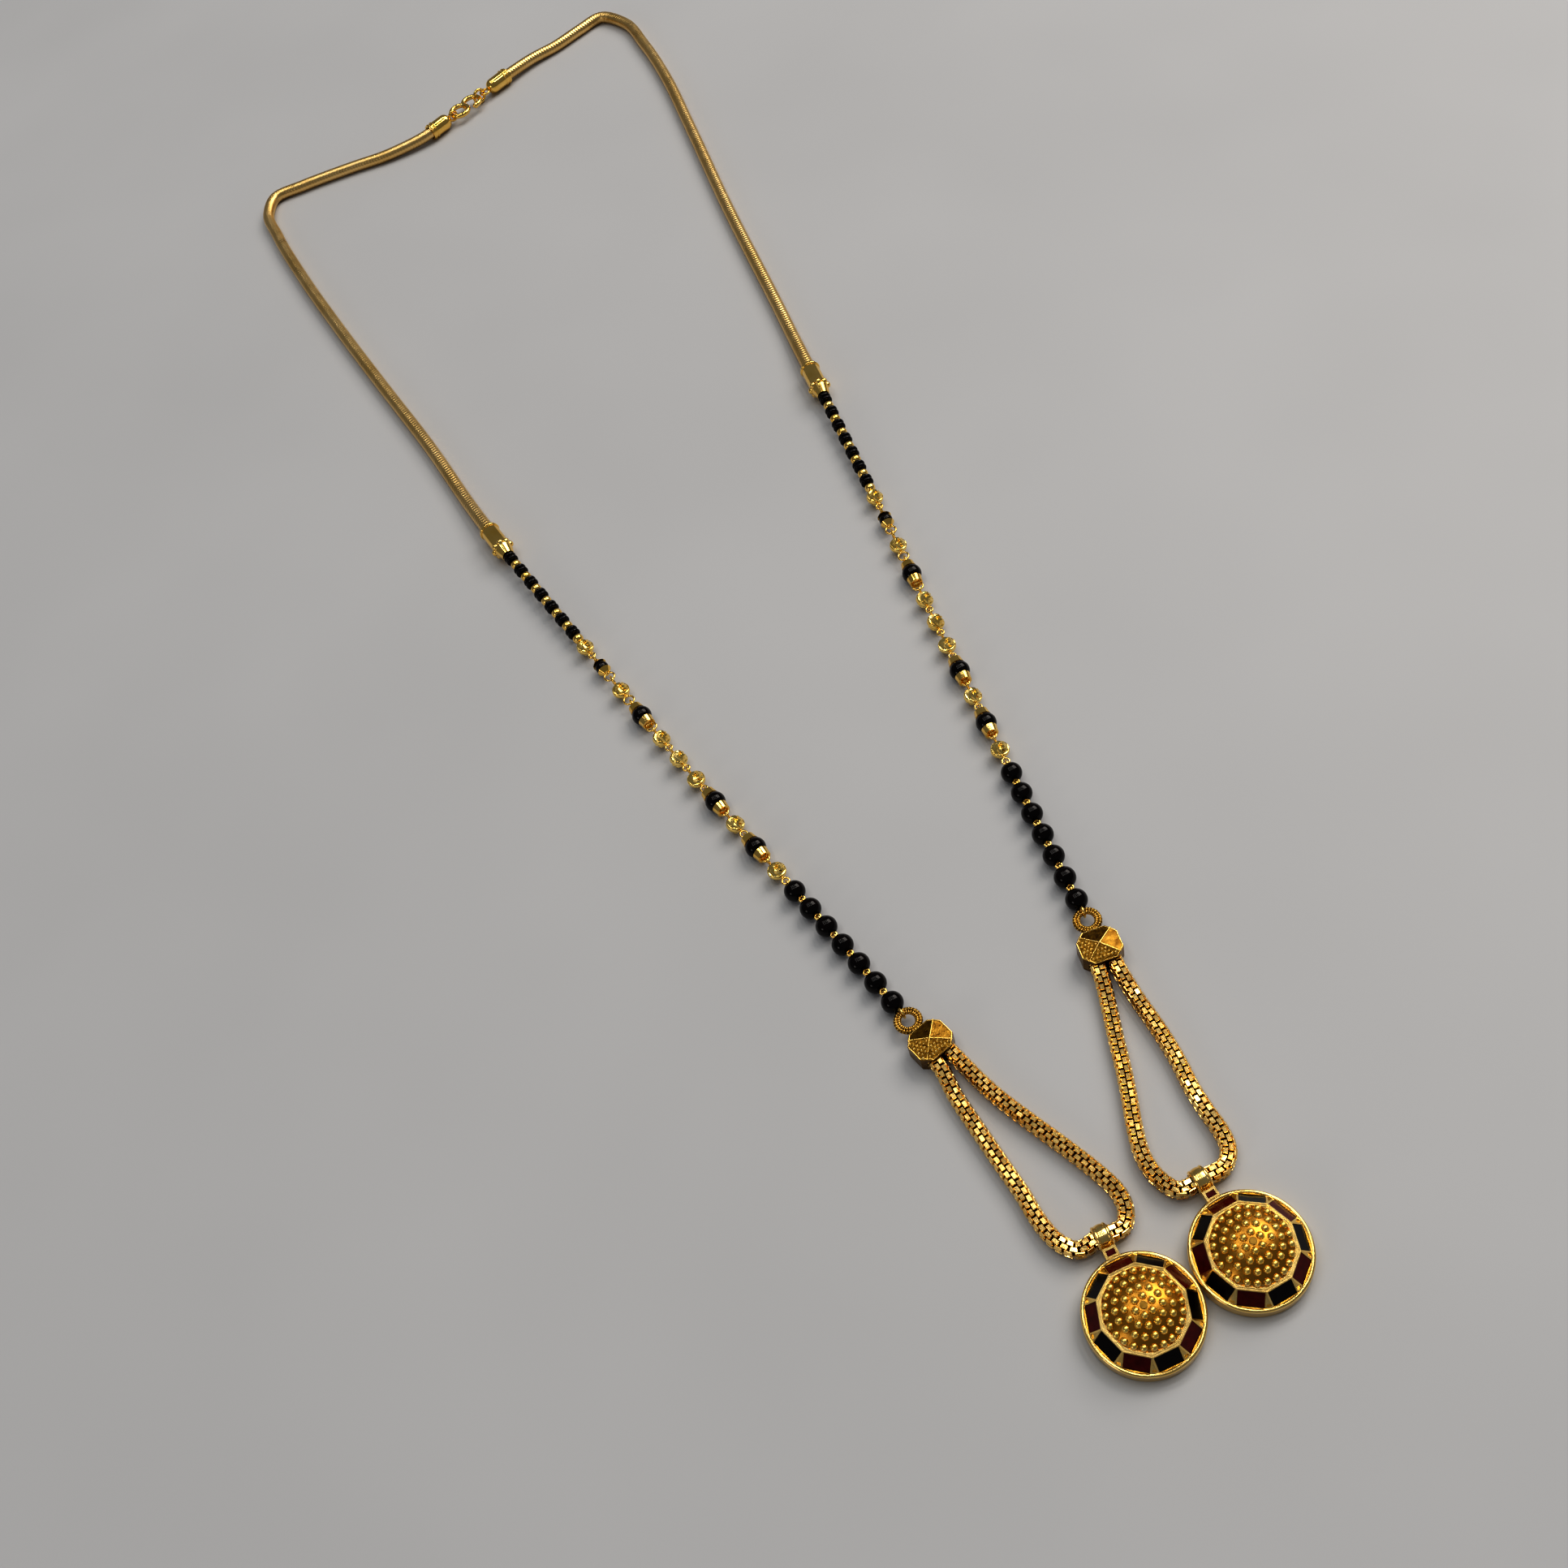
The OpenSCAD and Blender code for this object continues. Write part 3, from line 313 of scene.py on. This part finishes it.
def glassy(name, stops, roughness, cloud_mm):
    """Glass or enamel: one deep colour with faint clouds and a slightly uneven fired surface.

    It bends light as soda glass does, and mirrors less of it, as a handled skin does.
    """
    material, tree, shader = new_material(name, {"IOR": 1.52, "Specular IOR Level": 0.22})
    place = add_node(tree, "TexCoord").outputs["Object"]
    cloud = add_node(tree, "TexNoise", {"Scale": per_mm(cloud_mm), "Detail": 3.0}, {"Vector": place})
    colour = add_node(tree, "ValToRGB", links={"Fac": cloud.outputs["Fac"]}, stops=stops)
    gloss = add_node(tree, "MapRange", {"To Min": roughness[0], "To Max": roughness[1]},
                     {"Value": cloud.outputs["Fac"]})
    tree.links.new(colour.outputs["Color"], shader.inputs["Base Color"])
    tree.links.new(gloss.outputs["Result"], shader.inputs["Roughness"])
    return material


# Opaque black glass beads, fire polished: mirror highlights on a body that is black with a trace of brown
BLACK_GLASS = glassy("black_glass", tones("#0B0707", "#150D0C"), roughness=(0.02, 0.05), cloud_mm=1.5)
# Fired vitreous enamel, dark garnet red: the colour lies deep, under a skin stoned almost flush and left soft
RED_ENAMEL = glassy("garnet_red_enamel", tones("#420402", "#560A05"), roughness=(0.12, 0.22), cloud_mm=0.8)
# Fired vitreous enamel, black, with the same soft skin
BLACK_ENAMEL = glassy("black_enamel", tones("#080403", "#120906"), roughness=(0.12, 0.22), cloud_mm=0.8)


# Paths and meshes, in millimetres: a route's direction is read this far on both sides, and LOWEST keeps what the
# scene adds clear of the ground
AXES_REACH = 0.35
LOWEST = 0.005


def unit(v):
    return v / np.linalg.norm(v)


def way(p, q):
    """The direction from p to q."""
    return unit(q - p)


def level_across(along):
    """The level direction square to along."""
    return unit(np.cross(along, (0, 0, 1)))


def curve(points, steps):
    """The part's smooth curve through points, each stretch cut into equal steps."""
    p = [np.array(q, float) for q in points]
    n = len(p)

    def bend(i):
        """Direction of the curve at a point, which leans to the shorter stretch beside it."""
        if i == 0:
            return way(p[0], p[1])
        if i == n - 1:
            return way(p[i - 1], p[i])
        before = np.linalg.norm(p[i] - p[i - 1])
        after = np.linalg.norm(p[i + 1] - p[i])
        return (way(p[i - 1], p[i]) * after + way(p[i], p[i + 1]) * before) / (before + after)

    found = []
    for i in range(n - 1):
        d = np.linalg.norm(p[i + 1] - p[i])
        for k in range(steps):
            t = k / steps
            found.append(p[i] * (2 * t ** 3 - 3 * t ** 2 + 1)
                         + bend(i) * d * (t ** 3 - 2 * t ** 2 + t)
                         + p[i + 1] * (3 * t ** 2 - 2 * t ** 3)
                         + bend(i + 1) * d * (t ** 3 - t ** 2))
    found.append(p[-1])
    return np.array(found)


def runs(path):
    """How far along a path each of its points lies."""
    return np.concatenate([[0], np.cumsum(np.linalg.norm(np.diff(path, axis=0), axis=1))])


class Route:
    """A path that gives its place and its across and up directions at any run along it."""

    def __init__(self, path):
        self.path = path
        self.run = runs(path)
        self.length = self.run[-1]

    def place(self, run):
        return np.array([np.interp(run, self.run, self.path[:, k]) for k in range(3)])

    def axes(self, run):
        along = way(self.place(max(run - AXES_REACH, 0)), self.place(min(run + AXES_REACH, self.length)))
        across = level_across(along)
        return across, np.cross(across, along)


class Pile:
    """Vertices and faces of many small forms, joined into one mesh."""

    def __init__(self):
        self.points = []
        self.faces = []
        self.smooth = []

    def add(self, points, faces, smooth):
        start = len(self.points)
        self.points.extend(points)
        self.faces.extend([tuple(start + i for i in face) for face in faces])
        self.smooth.extend([smooth] * len(faces))

    def tube(self, rings, closed=False, smooth=True):
        """Rings of points of the same count, skinned one to the next, with flat ends unless closed."""
        n = len(rings[0])
        faces = []
        for i in range(len(rings) if closed else len(rings) - 1):
            a = i * n
            b = (i + 1) % len(rings) * n
            for j in range(n):
                k = (j + 1) % n
                faces.append((a + j, a + k, b + k, b + j))
        self.add([tuple(p) for ring in rings for p in ring], faces, smooth)
        if not closed:
            for ring in (rings[0][::-1], rings[-1]):
                self.add([tuple(p) for p in ring], [tuple(range(n))], False)

    def piece(self, name, material, replaces=()):
        """Makes the mesh object, in metres and clear of the ground, and ties it to the part."""
        mesh = bpy.data.meshes.new(name)
        points = [(x * MM, y * MM, max(z, LOWEST) * MM) for x, y, z in self.points]
        mesh.from_pydata(points, [], self.faces)
        mesh.materials.append(material)
        mesh.polygons.foreach_set("use_smooth", self.smooth)
        mesh.validate()
        mesh.update()
        made = bpy.data.objects.new(name, mesh)
        bpy.context.collection.objects.link(made)
        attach(made, "root")
        if replaces:
            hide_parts(*replaces)


def round_angles(sides):
    """Equal steps of one whole turn."""
    return [2 * math.pi * k / sides for k in range(sides)]


def circle(middle, across, up, radius, sides):
    """Points of a circle about middle, in the plane of across and up."""
    return [middle + radius * (math.cos(a) * across + math.sin(a) * up) for a in round_angles(sides)]


# Mesh chain: columns of rolled links, each arched over the next, around a core painted dark as shade. LINK_ALONG
# and
# LINK_DEPTH place a link's cross-sections along the chain and tell how deep each lies. LINK_ACROSS goes round a
# cross-section, in shares of the half width and of the thickness. LINK_REACH is the length that a link needs past
# its middle, and LINK_TILT the largest slope by which one sits askew
LINK_PITCH = 1.08
LINK_COLUMNS = 10
LINK_HALF_W = 0.28
LINK_T = 0.2
LINK_PROUD = 0.05
LINK_ALONG = (-0.47, -0.43, -0.37, 0.37, 0.43, 0.47)
LINK_DEPTH = (0.33, 0.1, 0.0, 0.0, 0.1, 0.33)
LINK_ACROSS = ((-1.0, 0.4), (-0.86, 0.0), (0.86, 0.0), (1.0, 0.4), (0.9, 1.0), (-0.9, 1.0))
LINK_REACH = 0.5
LINK_TILT = 0.02
CORE_DEPTH = 0.34
CORE_STEP = 0.5
CORE_SIDES = 20


def mesh_section(share):
    """Place and outward direction on the rounded square section, share from 0 to 1 of the way round."""
    flat = MESH_W - 2 * MESH_CORNER
    bend = MESH_CORNER * math.pi / 2
    run = share * 4 * (flat + bend) + flat / 2
    side = int(run // (flat + bend))
    rest = run - side * (flat + bend)
    turn = math.pi / 2 - side * math.pi / 2
    out = Vector((math.cos(turn), math.sin(turn)))
    ahead = Vector((out.y, -out.x))
    middle = out * (MESH_W / 2 - MESH_CORNER)
    if rest <= flat:
        return middle + out * MESH_CORNER + ahead * (rest - flat / 2), out
    angle = (rest - flat) / MESH_CORNER
    lean = out * math.cos(angle) + ahead * math.sin(angle)
    return middle + ahead * flat / 2 + lean * MESH_CORNER, lean


def mesh_chain(side):
    """The woven links of a side's chain, each a little askew, over the core painted dark as shade."""
    path = curve(MESH_ROUTE[side], MESH_STEPS)
    path[:, 2] = np.maximum(path[:, 2], MESH_W / 2)
    route = Route(path)
    links = Pile()
    count = int(route.length / LINK_PITCH)
    pitch = route.length / count
    n_along = len(LINK_ALONG)
    n_across = len(LINK_ACROSS)
    faces = [(i * n_across + j, i * n_across + (j + 1) % n_across,
              (i + 1) * n_across + (j + 1) % n_across, (i + 1) * n_across + j)
             for i in range(n_along - 1) for j in range(n_across)]
    faces.append(tuple(reversed(range(n_across))))
    faces.append(tuple((n_along - 1) * n_across + j for j in range(n_across)))
    for column in range(LINK_COLUMNS):
        spot, out = mesh_section((column + 0.5) / LINK_COLUMNS)
        sideways = Vector((out.y, -out.x))
        for n in range(count):
            middle = (n + 0.5 + (column % 2) / 2) * pitch
            if middle + LINK_REACH > route.length:
                continue
            points = []
            pitch_tilt = chance.uniform(-LINK_TILT, LINK_TILT)
            roll_tilt = chance.uniform(-LINK_TILT, LINK_TILT)
            for u, depth in zip(LINK_ALONG, LINK_DEPTH):
                run = min(max(middle + u, 0), route.length)
                centre = route.place(run)
                across, up = route.axes(run)
                for v, fall in LINK_ACROSS:
                    sunk = depth + fall * LINK_T - LINK_PROUD + u * pitch_tilt + v * LINK_HALF_W * roll_tilt
                    flat = spot - out * sunk + sideways * v * LINK_HALF_W
                    points.append(tuple(centre + across * flat.x + up * flat.y))
            links.add(points, faces, smooth=False)
    links.piece("woven_links_" + side, WOVEN_GOLD, ["mesh_chain_" + side])
    weave_shade_core(side, route)


def weave_shade_core(side, route):
    """The inside of the weave, painted dark as shade, which shows between the links."""
    core = Pile()
    rings = []
    for run in np.arange(0, route.length, CORE_STEP):
        centre = route.place(run)
        across, up = route.axes(run)
        ring = []
        for k in range(CORE_SIDES):
            spot, out = mesh_section(k / CORE_SIDES)
            flat = spot - out * CORE_DEPTH
            ring.append(centre + across * flat.x + up * flat.y)
        rings.append(ring)
    core.tube(rings)
    core.piece("weave_shade_core_" + side, WEAVE_CORE_PAINTED_SHADE, ["mesh_chain_" + side])


# Snake chain: wavy plates slid into one another, seen as fine ribs. RIB_PROFILE goes over one rib, in shares of the
# pitch and of the lift, and RIB_R is the radius on top of a rib, just inside the plain chain's
RIB_PITCH = 0.62
RIB_SIDES = 24
RIB_WAVE = 0.16
RIB_WAVES = 6
RIB_LIFT = 0.07
RIB_PROFILE = ((0.0, 0.0), (0.25, 0.8), (0.5, 1.0), (0.75, 0.8))
RIB_R = SNAKE_R * 0.97


def snake_chain(side):
    """The ribs of a side's chain, which comes down from the end cap to the ground and up again to the clasp."""
    flat = curve(STRAND_ROUTE[side], STRAND_STEPS)
    run = runs(flat)
    stop = run[-1]
    heights_run = [END_CAP_START, END_CAP_STOP, END_CAP_STOP + SNAKE_SETTLE,
                   stop - COLLAR_DEPTH - SNAKE_SETTLE, stop - COLLAR_DEPTH, stop]
    heights = [END_CAP_H, END_CAP_H, SNAKE_H, SNAKE_H, CLASP_H, CLASP_H]
    path = np.column_stack([flat, np.interp(run, heights_run, heights)])
    route = Route(path)
    count = int((stop - SNAKE_START) / RIB_PITCH)
    pitch = (stop - SNAKE_START) / count
    rings = []
    for n in range(count):
        for share, lift in RIB_PROFILE:
            middle = SNAKE_START + (n + share) * pitch
            across, up = route.axes(middle)
            r = RIB_R - RIB_LIFT * (1 - lift)
            ring = []
            for a in round_angles(RIB_SIDES):
                centre = route.place(min(max(middle + RIB_WAVE * math.cos(RIB_WAVES * a), SNAKE_START), stop))
                ring.append(centre + r * (math.cos(a) * across + math.sin(a) * up))
            rings.append(ring)
    ribs = Pile()
    ribs.tube(rings)
    ribs.piece("snake_ribs_" + side, SATIN_GOLD, ["snake_chain_" + side])


# Gold balls: a rosette of cut facets round each pole of the strand, and a polished band around the side
def box_middle(node):
    """Middle of a node's box."""
    low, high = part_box(node)
    return (np.array(low) + np.array(high)) / 2 / MM


def bead_nodes(side):
    """Bead nodes of a side in the order of the strand, from the connector up."""
    counts = {"black": 0, "gold": 0}
    names = []
    for kind in ORDER:
        counts[kind] += 1
        stem = "black_bead" if kind == "black" else "gold_ball"
        names.append(f"{stem}_{side}_{counts[kind]}")
    return names


# Cuts: their number round a pole, how far their inner corners and the ridges between them lie below the ball, and
# their rows as shares of the way from the band to the pole. The band's profile is in shares of its half width, and
# BAND_STEP is how far its two edges step down to the cuts
CUT_LONG = 7
CUT_DEEP = 0.2
RIDGE_DEEP = 0.03
CUT_LEVELS = (0.0, 0.06, 0.3, 0.54, 0.78, 0.94)
BAND_HALF_W = 0.38
BAND_SIDES = 28
BAND_PROFILE = (-1.0, -0.9, -0.4, 0.4, 0.9, 1.0)
BAND_STEP = 0.08
# How far each ball has rolled about its pin, in degrees, from the connector up
BALL_ROLLS = (6, 20, 2, 30, 28, 8, 14)


def cut_ball(name, middle, along, roll):
    """One ball: staggered rows of four-sided cuts above and below a plain polished band."""
    level = level_across(along)
    upright = np.cross(level, along)
    tip = math.radians(roll)
    across = math.cos(tip) * level - math.sin(tip) * upright
    up = math.cos(tip) * upright + math.sin(tip) * level
    ball = Pile()
    band_angle = math.asin(BAND_HALF_W / BALL_R)
    for sign in (-1, 1):
        rows = []
        for row, share in enumerate(CUT_LEVELS):
            lift = band_angle + (math.pi / 2 - band_angle) * share
            ring = []
            for k, a in enumerate(round_angles(CUT_LONG * 2)):
                ridge = (k + row) % 2 == 0
                r = BALL_R - (RIDGE_DEEP if row == 0 or ridge else CUT_DEEP)
                ring.append(middle + r * (math.cos(lift) * (math.cos(a) * along + math.sin(a) * across)
                                          + sign * math.sin(lift) * up))
            rows.append(ring)
        ball.tube(rows, smooth=False)
    band = []
    for share in BAND_PROFILE:
        lift = math.asin(BAND_HALF_W * share / BALL_R)
        r = BALL_R * math.cos(lift) - (BAND_STEP if abs(share) == 1.0 else 0.0)
        band.append([spot + BAND_HALF_W * share * up for spot in circle(middle, along, across, r, BAND_SIDES)])
    ball.tube(band)
    ball.piece("cut_" + name, CUT_GOLD, [name])


def gold_balls(side):
    """The balls of a side, each in line with its neighbours."""
    names = bead_nodes(side)
    middles = [box_middle(n) for n in names]
    rolls = iter(BALL_ROLLS)
    for i, name in enumerate(names):
        if ORDER[i] != "gold":
            continue
        before = middles[i - 1]
        after = middles[min(i + 1, len(names) - 1)]
        cut_ball(name, middles[i], way(before, after), next(rolls))


# Connector: thin bright ridges where facets meet, raised grain on the left facet and on the one at the mesh chain,
# and fine wire wound round both wires of the ring
def facet_height(x, y):
    """Height of the connector's top, where four facets fall away from the middle."""
    side_fall = abs(x) / CONNECTOR_HALF_W
    end_fall = abs(y) / CONNECTOR_HALF_L
    return CONNECTOR_H + CONNECTOR_RISE * (1 - max(side_fall, end_fall))


# Grains, in rows set like bricks. None sits past GRAIN_EDGE_SHARE of the way to an edge, within GRAIN_CORNER_GAP of
# a cut corner or within GRAIN_RIDGE_SHARE of a ridge. Their sizes go up and down with a sine, by these steps across
# and along. GRAIN_PROFILE gives height and width from a grain's foot up, in shares of its radius
GRAIN_PITCH = 0.5
GRAIN_ROW_SHARE = 0.87
GRAIN_EDGE_SHARE = 0.9
GRAIN_CORNER_GAP = 0.25
GRAIN_RIDGE_SHARE = 0.1
GRAIN_R = 0.2
GRAIN_R_SPREAD = 0.03
GRAIN_SINE_STEPS = (12.9898, 78.233)
GRAIN_SIDES = 6
GRAIN_PROFILE = ((-0.4, 1.0), (0.35, 0.85), (0.8, 0.4))


def connector_grain(side):
    """Low rounded grains, each a little larger or smaller than the next."""
    grain = Pile()
    rows = int(2 * CONNECTOR_HALF_W / GRAIN_PITCH)
    for i in range(-rows, rows + 1):
        for j in range(-rows, rows + 1):
            x = (i + 0.5 * (j % 2)) * GRAIN_PITCH
            y = j * GRAIN_PITCH * GRAIN_ROW_SHARE
            side_share = abs(x) / CONNECTOR_HALF_W
            end_share = abs(y) / CONNECTOR_HALF_L
            near_edge = max(side_share, end_share) > GRAIN_EDGE_SHARE
            near_corner = abs(x) + abs(y) > CONNECTOR_CORNER - GRAIN_CORNER_GAP
            near_ridge = abs(side_share - end_share) < GRAIN_RIDGE_SHARE
            grained = x < 0 and side_share > end_share or y < 0 and end_share > side_share
            if near_edge or near_corner or near_ridge or not grained:
                continue
            r = GRAIN_R + GRAIN_R_SPREAD * math.sin(i * GRAIN_SINE_STEPS[0] + j * GRAIN_SINE_STEPS[1])
            add_grain(grain, on_connector(side, (x, y, facet_height(x, y))), r)
    grain.piece("connector_grain_" + side, CUT_GOLD)


def add_grain(pile, middle, r):
    """A low rounded grain, closed below."""
    rings = []
    for level, size in GRAIN_PROFILE:
        rings.append([middle + np.array((r * size * math.cos(a), r * size * math.sin(a), r * level))
                      for a in round_angles(GRAIN_SIDES)])
    pile.tube(rings)


# Ridges: thin round lines, which follow the top at these shares of their length
RIDGE_R = 0.09
RIDGE_SIDES = 8
RIDGE_SHARES = (0, 0.25, 0.5, 0.75, 1)


def connector_ridges(side):
    """The cross where the four facets meet, and the edge round the top."""
    lines = Pile()
    share = CONNECTOR_CORNER / (CONNECTOR_HALF_W + CONNECTOR_HALF_L)
    for x, y in ((1, 1), (-1, 1), (-1, -1), (1, -1)):
        tip = (x * share * CONNECTOR_HALF_W, y * share * CONNECTOR_HALF_L)
        ridge_line(lines, side, (0, 0), tip)
    w = CONNECTOR_HALF_W - RIDGE_R
    d = CONNECTOR_HALF_L - RIDGE_R
    cut = CONNECTOR_CUT
    edge = [(-w + cut, -d), (w - cut, -d), (w, -d + cut), (w, d - cut),
            (w - cut, d), (-w + cut, d), (-w, d - cut), (-w, -d + cut)]
    for a, b in zip(edge, edge[1:] + edge[:1]):
        ridge_line(lines, side, a, b)
    lines.piece("connector_ridges_" + side, POLISHED_GOLD)


def ridge_line(pile, side, a, b):
    """A burnished edge, half sunk into the top: it bends where it crosses from one facet to the next."""
    flat = [(a[0] + (b[0] - a[0]) * t, a[1] + (b[1] - a[1]) * t) for t in RIDGE_SHARES]
    spots = [on_connector(side, (x, y, facet_height(x, y))) for x, y in flat]
    rings = []
    for n, spot in enumerate(spots):
        along = way(spots[max(n - 1, 0)], spots[min(n + 1, len(spots) - 1)])
        across = level_across(along)
        rings.append(circle(spot, across, np.cross(across, along), RIDGE_R, RIDGE_SIDES))
    pile.tube(rings)


# Wire round the ring: its turns, its steps in a whole round, and how far its middle line lies below the skin of the
# ring's own wires
ROPE_TURNS = 26
ROPE_STEPS = ROPE_TURNS * 10
ROPE_WIRE_R = 0.07
ROPE_WIRE_SIDES = 5
ROPE_SINK = 0.01


def on_ring(side, radius, angle, wound_r=0.0, spin=0.0):
    """A point of the connector's ring, on a wire's middle line or wound_r away from it at the angle spin."""
    out = radius + wound_r * math.cos(spin)
    return on_connector(side, (out * math.cos(angle), RING_Y + out * math.sin(angle),
                               RING_H + wound_r * math.sin(spin)))


def ring_rope(side):
    """A fine wire wound round each of the ring's two wires."""
    ropes = Pile()
    wound_r = RING_WIRE_R - ROPE_SINK
    for radius in RING_RADII:
        rings = []
        for n in range(ROPE_STEPS):
            a, b = (2 * math.pi * k / ROPE_STEPS for k in (n, n + 1))
            middle = on_ring(side, radius, a, wound_r, ROPE_TURNS * a)
            ahead = on_ring(side, radius, b, wound_r, ROPE_TURNS * b)
            out_way = way(on_ring(side, radius, a), middle)
            across = unit(np.cross(way(middle, ahead), out_way))
            rings.append(circle(middle, out_way, across, ROPE_WIRE_R, ROPE_WIRE_SIDES))
        ropes.tube(rings, closed=True)
    ropes.piece("ring_rope_" + side, POLISHED_GOLD)


# Crown dot, from its foot up: how far each circle lies inside the dot's radius and above its height
DOT_PROFILE = ((0.0, -0.1), (0.0, 0.02), (0.05, 0.04))
DOT_SIDES = 24


def crown_dot(side):
    """The flat matt dot in the middle of the granules."""
    dot = Pile()
    rings = []
    for inside, rise in DOT_PROFILE:
        r = DOT_R - inside
        rings.append([on_pendant(side, (r * math.cos(a), r * math.sin(a), DOT_H + rise))
                      for a in round_angles(DOT_SIDES)])
    dot.tube(rings)
    dot.piece("crown_dot_" + side, MATT_GOLD)


for side in SIDES:
    mesh_chain(side)
    snake_chain(side)
    gold_balls(side)
    connector_grain(side)
    connector_ridges(side)
    ring_rope(side)
    crown_dot(side)

# Finishes of the part's own nodes, by the start of their names
FINISHES = (
    ("pendant_left", pendant_gold("left")), ("pendant_right", pendant_gold("right")),
    ("red_enamel", RED_ENAMEL), ("black_enamel", BLACK_ENAMEL), ("black_bead", BLACK_GLASS),
    ("black_rondelles", BLACK_GLASS), ("connector", STRUCK_GOLD_WITH_PAINTED_SHADE), ("eye_pins", POLISHED_GOLD),
    ("gold_seeds", POLISHED_GOLD), ("end_cap", POLISHED_GOLD), ("clasp", POLISHED_GOLD),
    ("mesh_chain", WOVEN_GOLD), ("snake_chain", SATIN_GOLD), ("gold_ball", CUT_GOLD))
for name, node in NODES.items():
    material = next(m for stem, m in FINISHES if name.startswith(stem))
    node.data.materials.clear()
    node.data.materials.append(material)


# Ground, in metres: pale matt laminate in an even grey, with broad clouds too faint to see as spots
FLOOR_HALF_W = 3
FLOOR_CLOUD_MM = 60.0


def add_floor():
    material, tree, shader = new_material("pale_laminate", {"Roughness": 0.55, "IOR": 1.45})
    place = add_node(tree, "TexCoord").outputs["Object"]
    cloud = add_node(tree, "TexNoise", {"Scale": per_mm(FLOOR_CLOUD_MM), "Detail": 2.0}, {"Vector": place})
    colour = add_node(tree, "ValToRGB", links={"Fac": cloud.outputs["Fac"]}, stops=tones("#C3C3C4", "#C7C7C8"))
    tree.links.new(colour.outputs["Color"], shader.inputs["Base Color"])
    mesh = bpy.data.meshes.new("floor")
    w = FLOOR_HALF_W
    mesh.from_pydata([(-w, -w, 0), (w, -w, 0), (w, w, 0), (-w, w, 0)], [], [(0, 1, 2, 3)])
    mesh.materials.append(material)
    floor = bpy.data.objects.new("floor", mesh)
    bpy.context.collection.objects.link(floor)


add_floor()

# Light: a dim room with rows of small ceiling lamps, a broad soft panel to the right and a low one to the left, in
# metres and watts
LAMP_COLUMNS = 4
LAMP_ROWS = 3
LAMP_CORNER = (-0.45, -0.1, 1.5)
LAMP_PITCH = 0.45
LAMP_W = 0.14
LAMP_WATTS = 0.62
ROOM_TINT = "#A6AAB0"
ROOM_STRENGTH = 0.32


def panel(name, place, aim, width, depth, watts, tint):
    """An oblong lamp at place, turned to aim."""
    data = bpy.data.lights.new(name, "AREA")
    data.shape = "RECTANGLE"
    data.size = width
    data.size_y = depth
    data.energy = watts
    data.color = linear(tint)[:3]
    light = bpy.data.objects.new(name, data)
    light.location = place
    light.rotation_euler = (Vector(aim) - Vector(place)).to_track_quat("-Z", "Y").to_euler()
    bpy.context.collection.objects.link(light)


panel("soft_panel", (0.95, 0.4, 0.95), (0, 0, 0), width=0.9, depth=0.7, watts=7.0, tint="#FFF8F0")
panel("low_panel", (-1.1, -0.6, 0.5), (0, -0.05, 0), width=0.4, depth=0.3, watts=0.8, tint="#FFF9F0")
for column in range(LAMP_COLUMNS):
    for row in range(LAMP_ROWS):
        x, y, z = LAMP_CORNER
        panel(f"ceiling_{column}_{row}", (x + LAMP_PITCH * column, y + LAMP_PITCH * row, z), (0, 0, 0),
              width=LAMP_W, depth=LAMP_W, watts=LAMP_WATTS, tint="#FFFDF8")
world = bpy.data.worlds.new("room")
world.use_nodes = True
backdrop = world.node_tree.nodes["Background"]
backdrop.inputs["Color"].default_value = linear(ROOM_TINT)
backdrop.inputs["Strength"].default_value = ROOM_STRENGTH
bpy.context.scene.world = world
bpy.context.scene.view_settings.view_transform = "Standard"
bpy.context.scene.view_settings.look = "High Contrast"
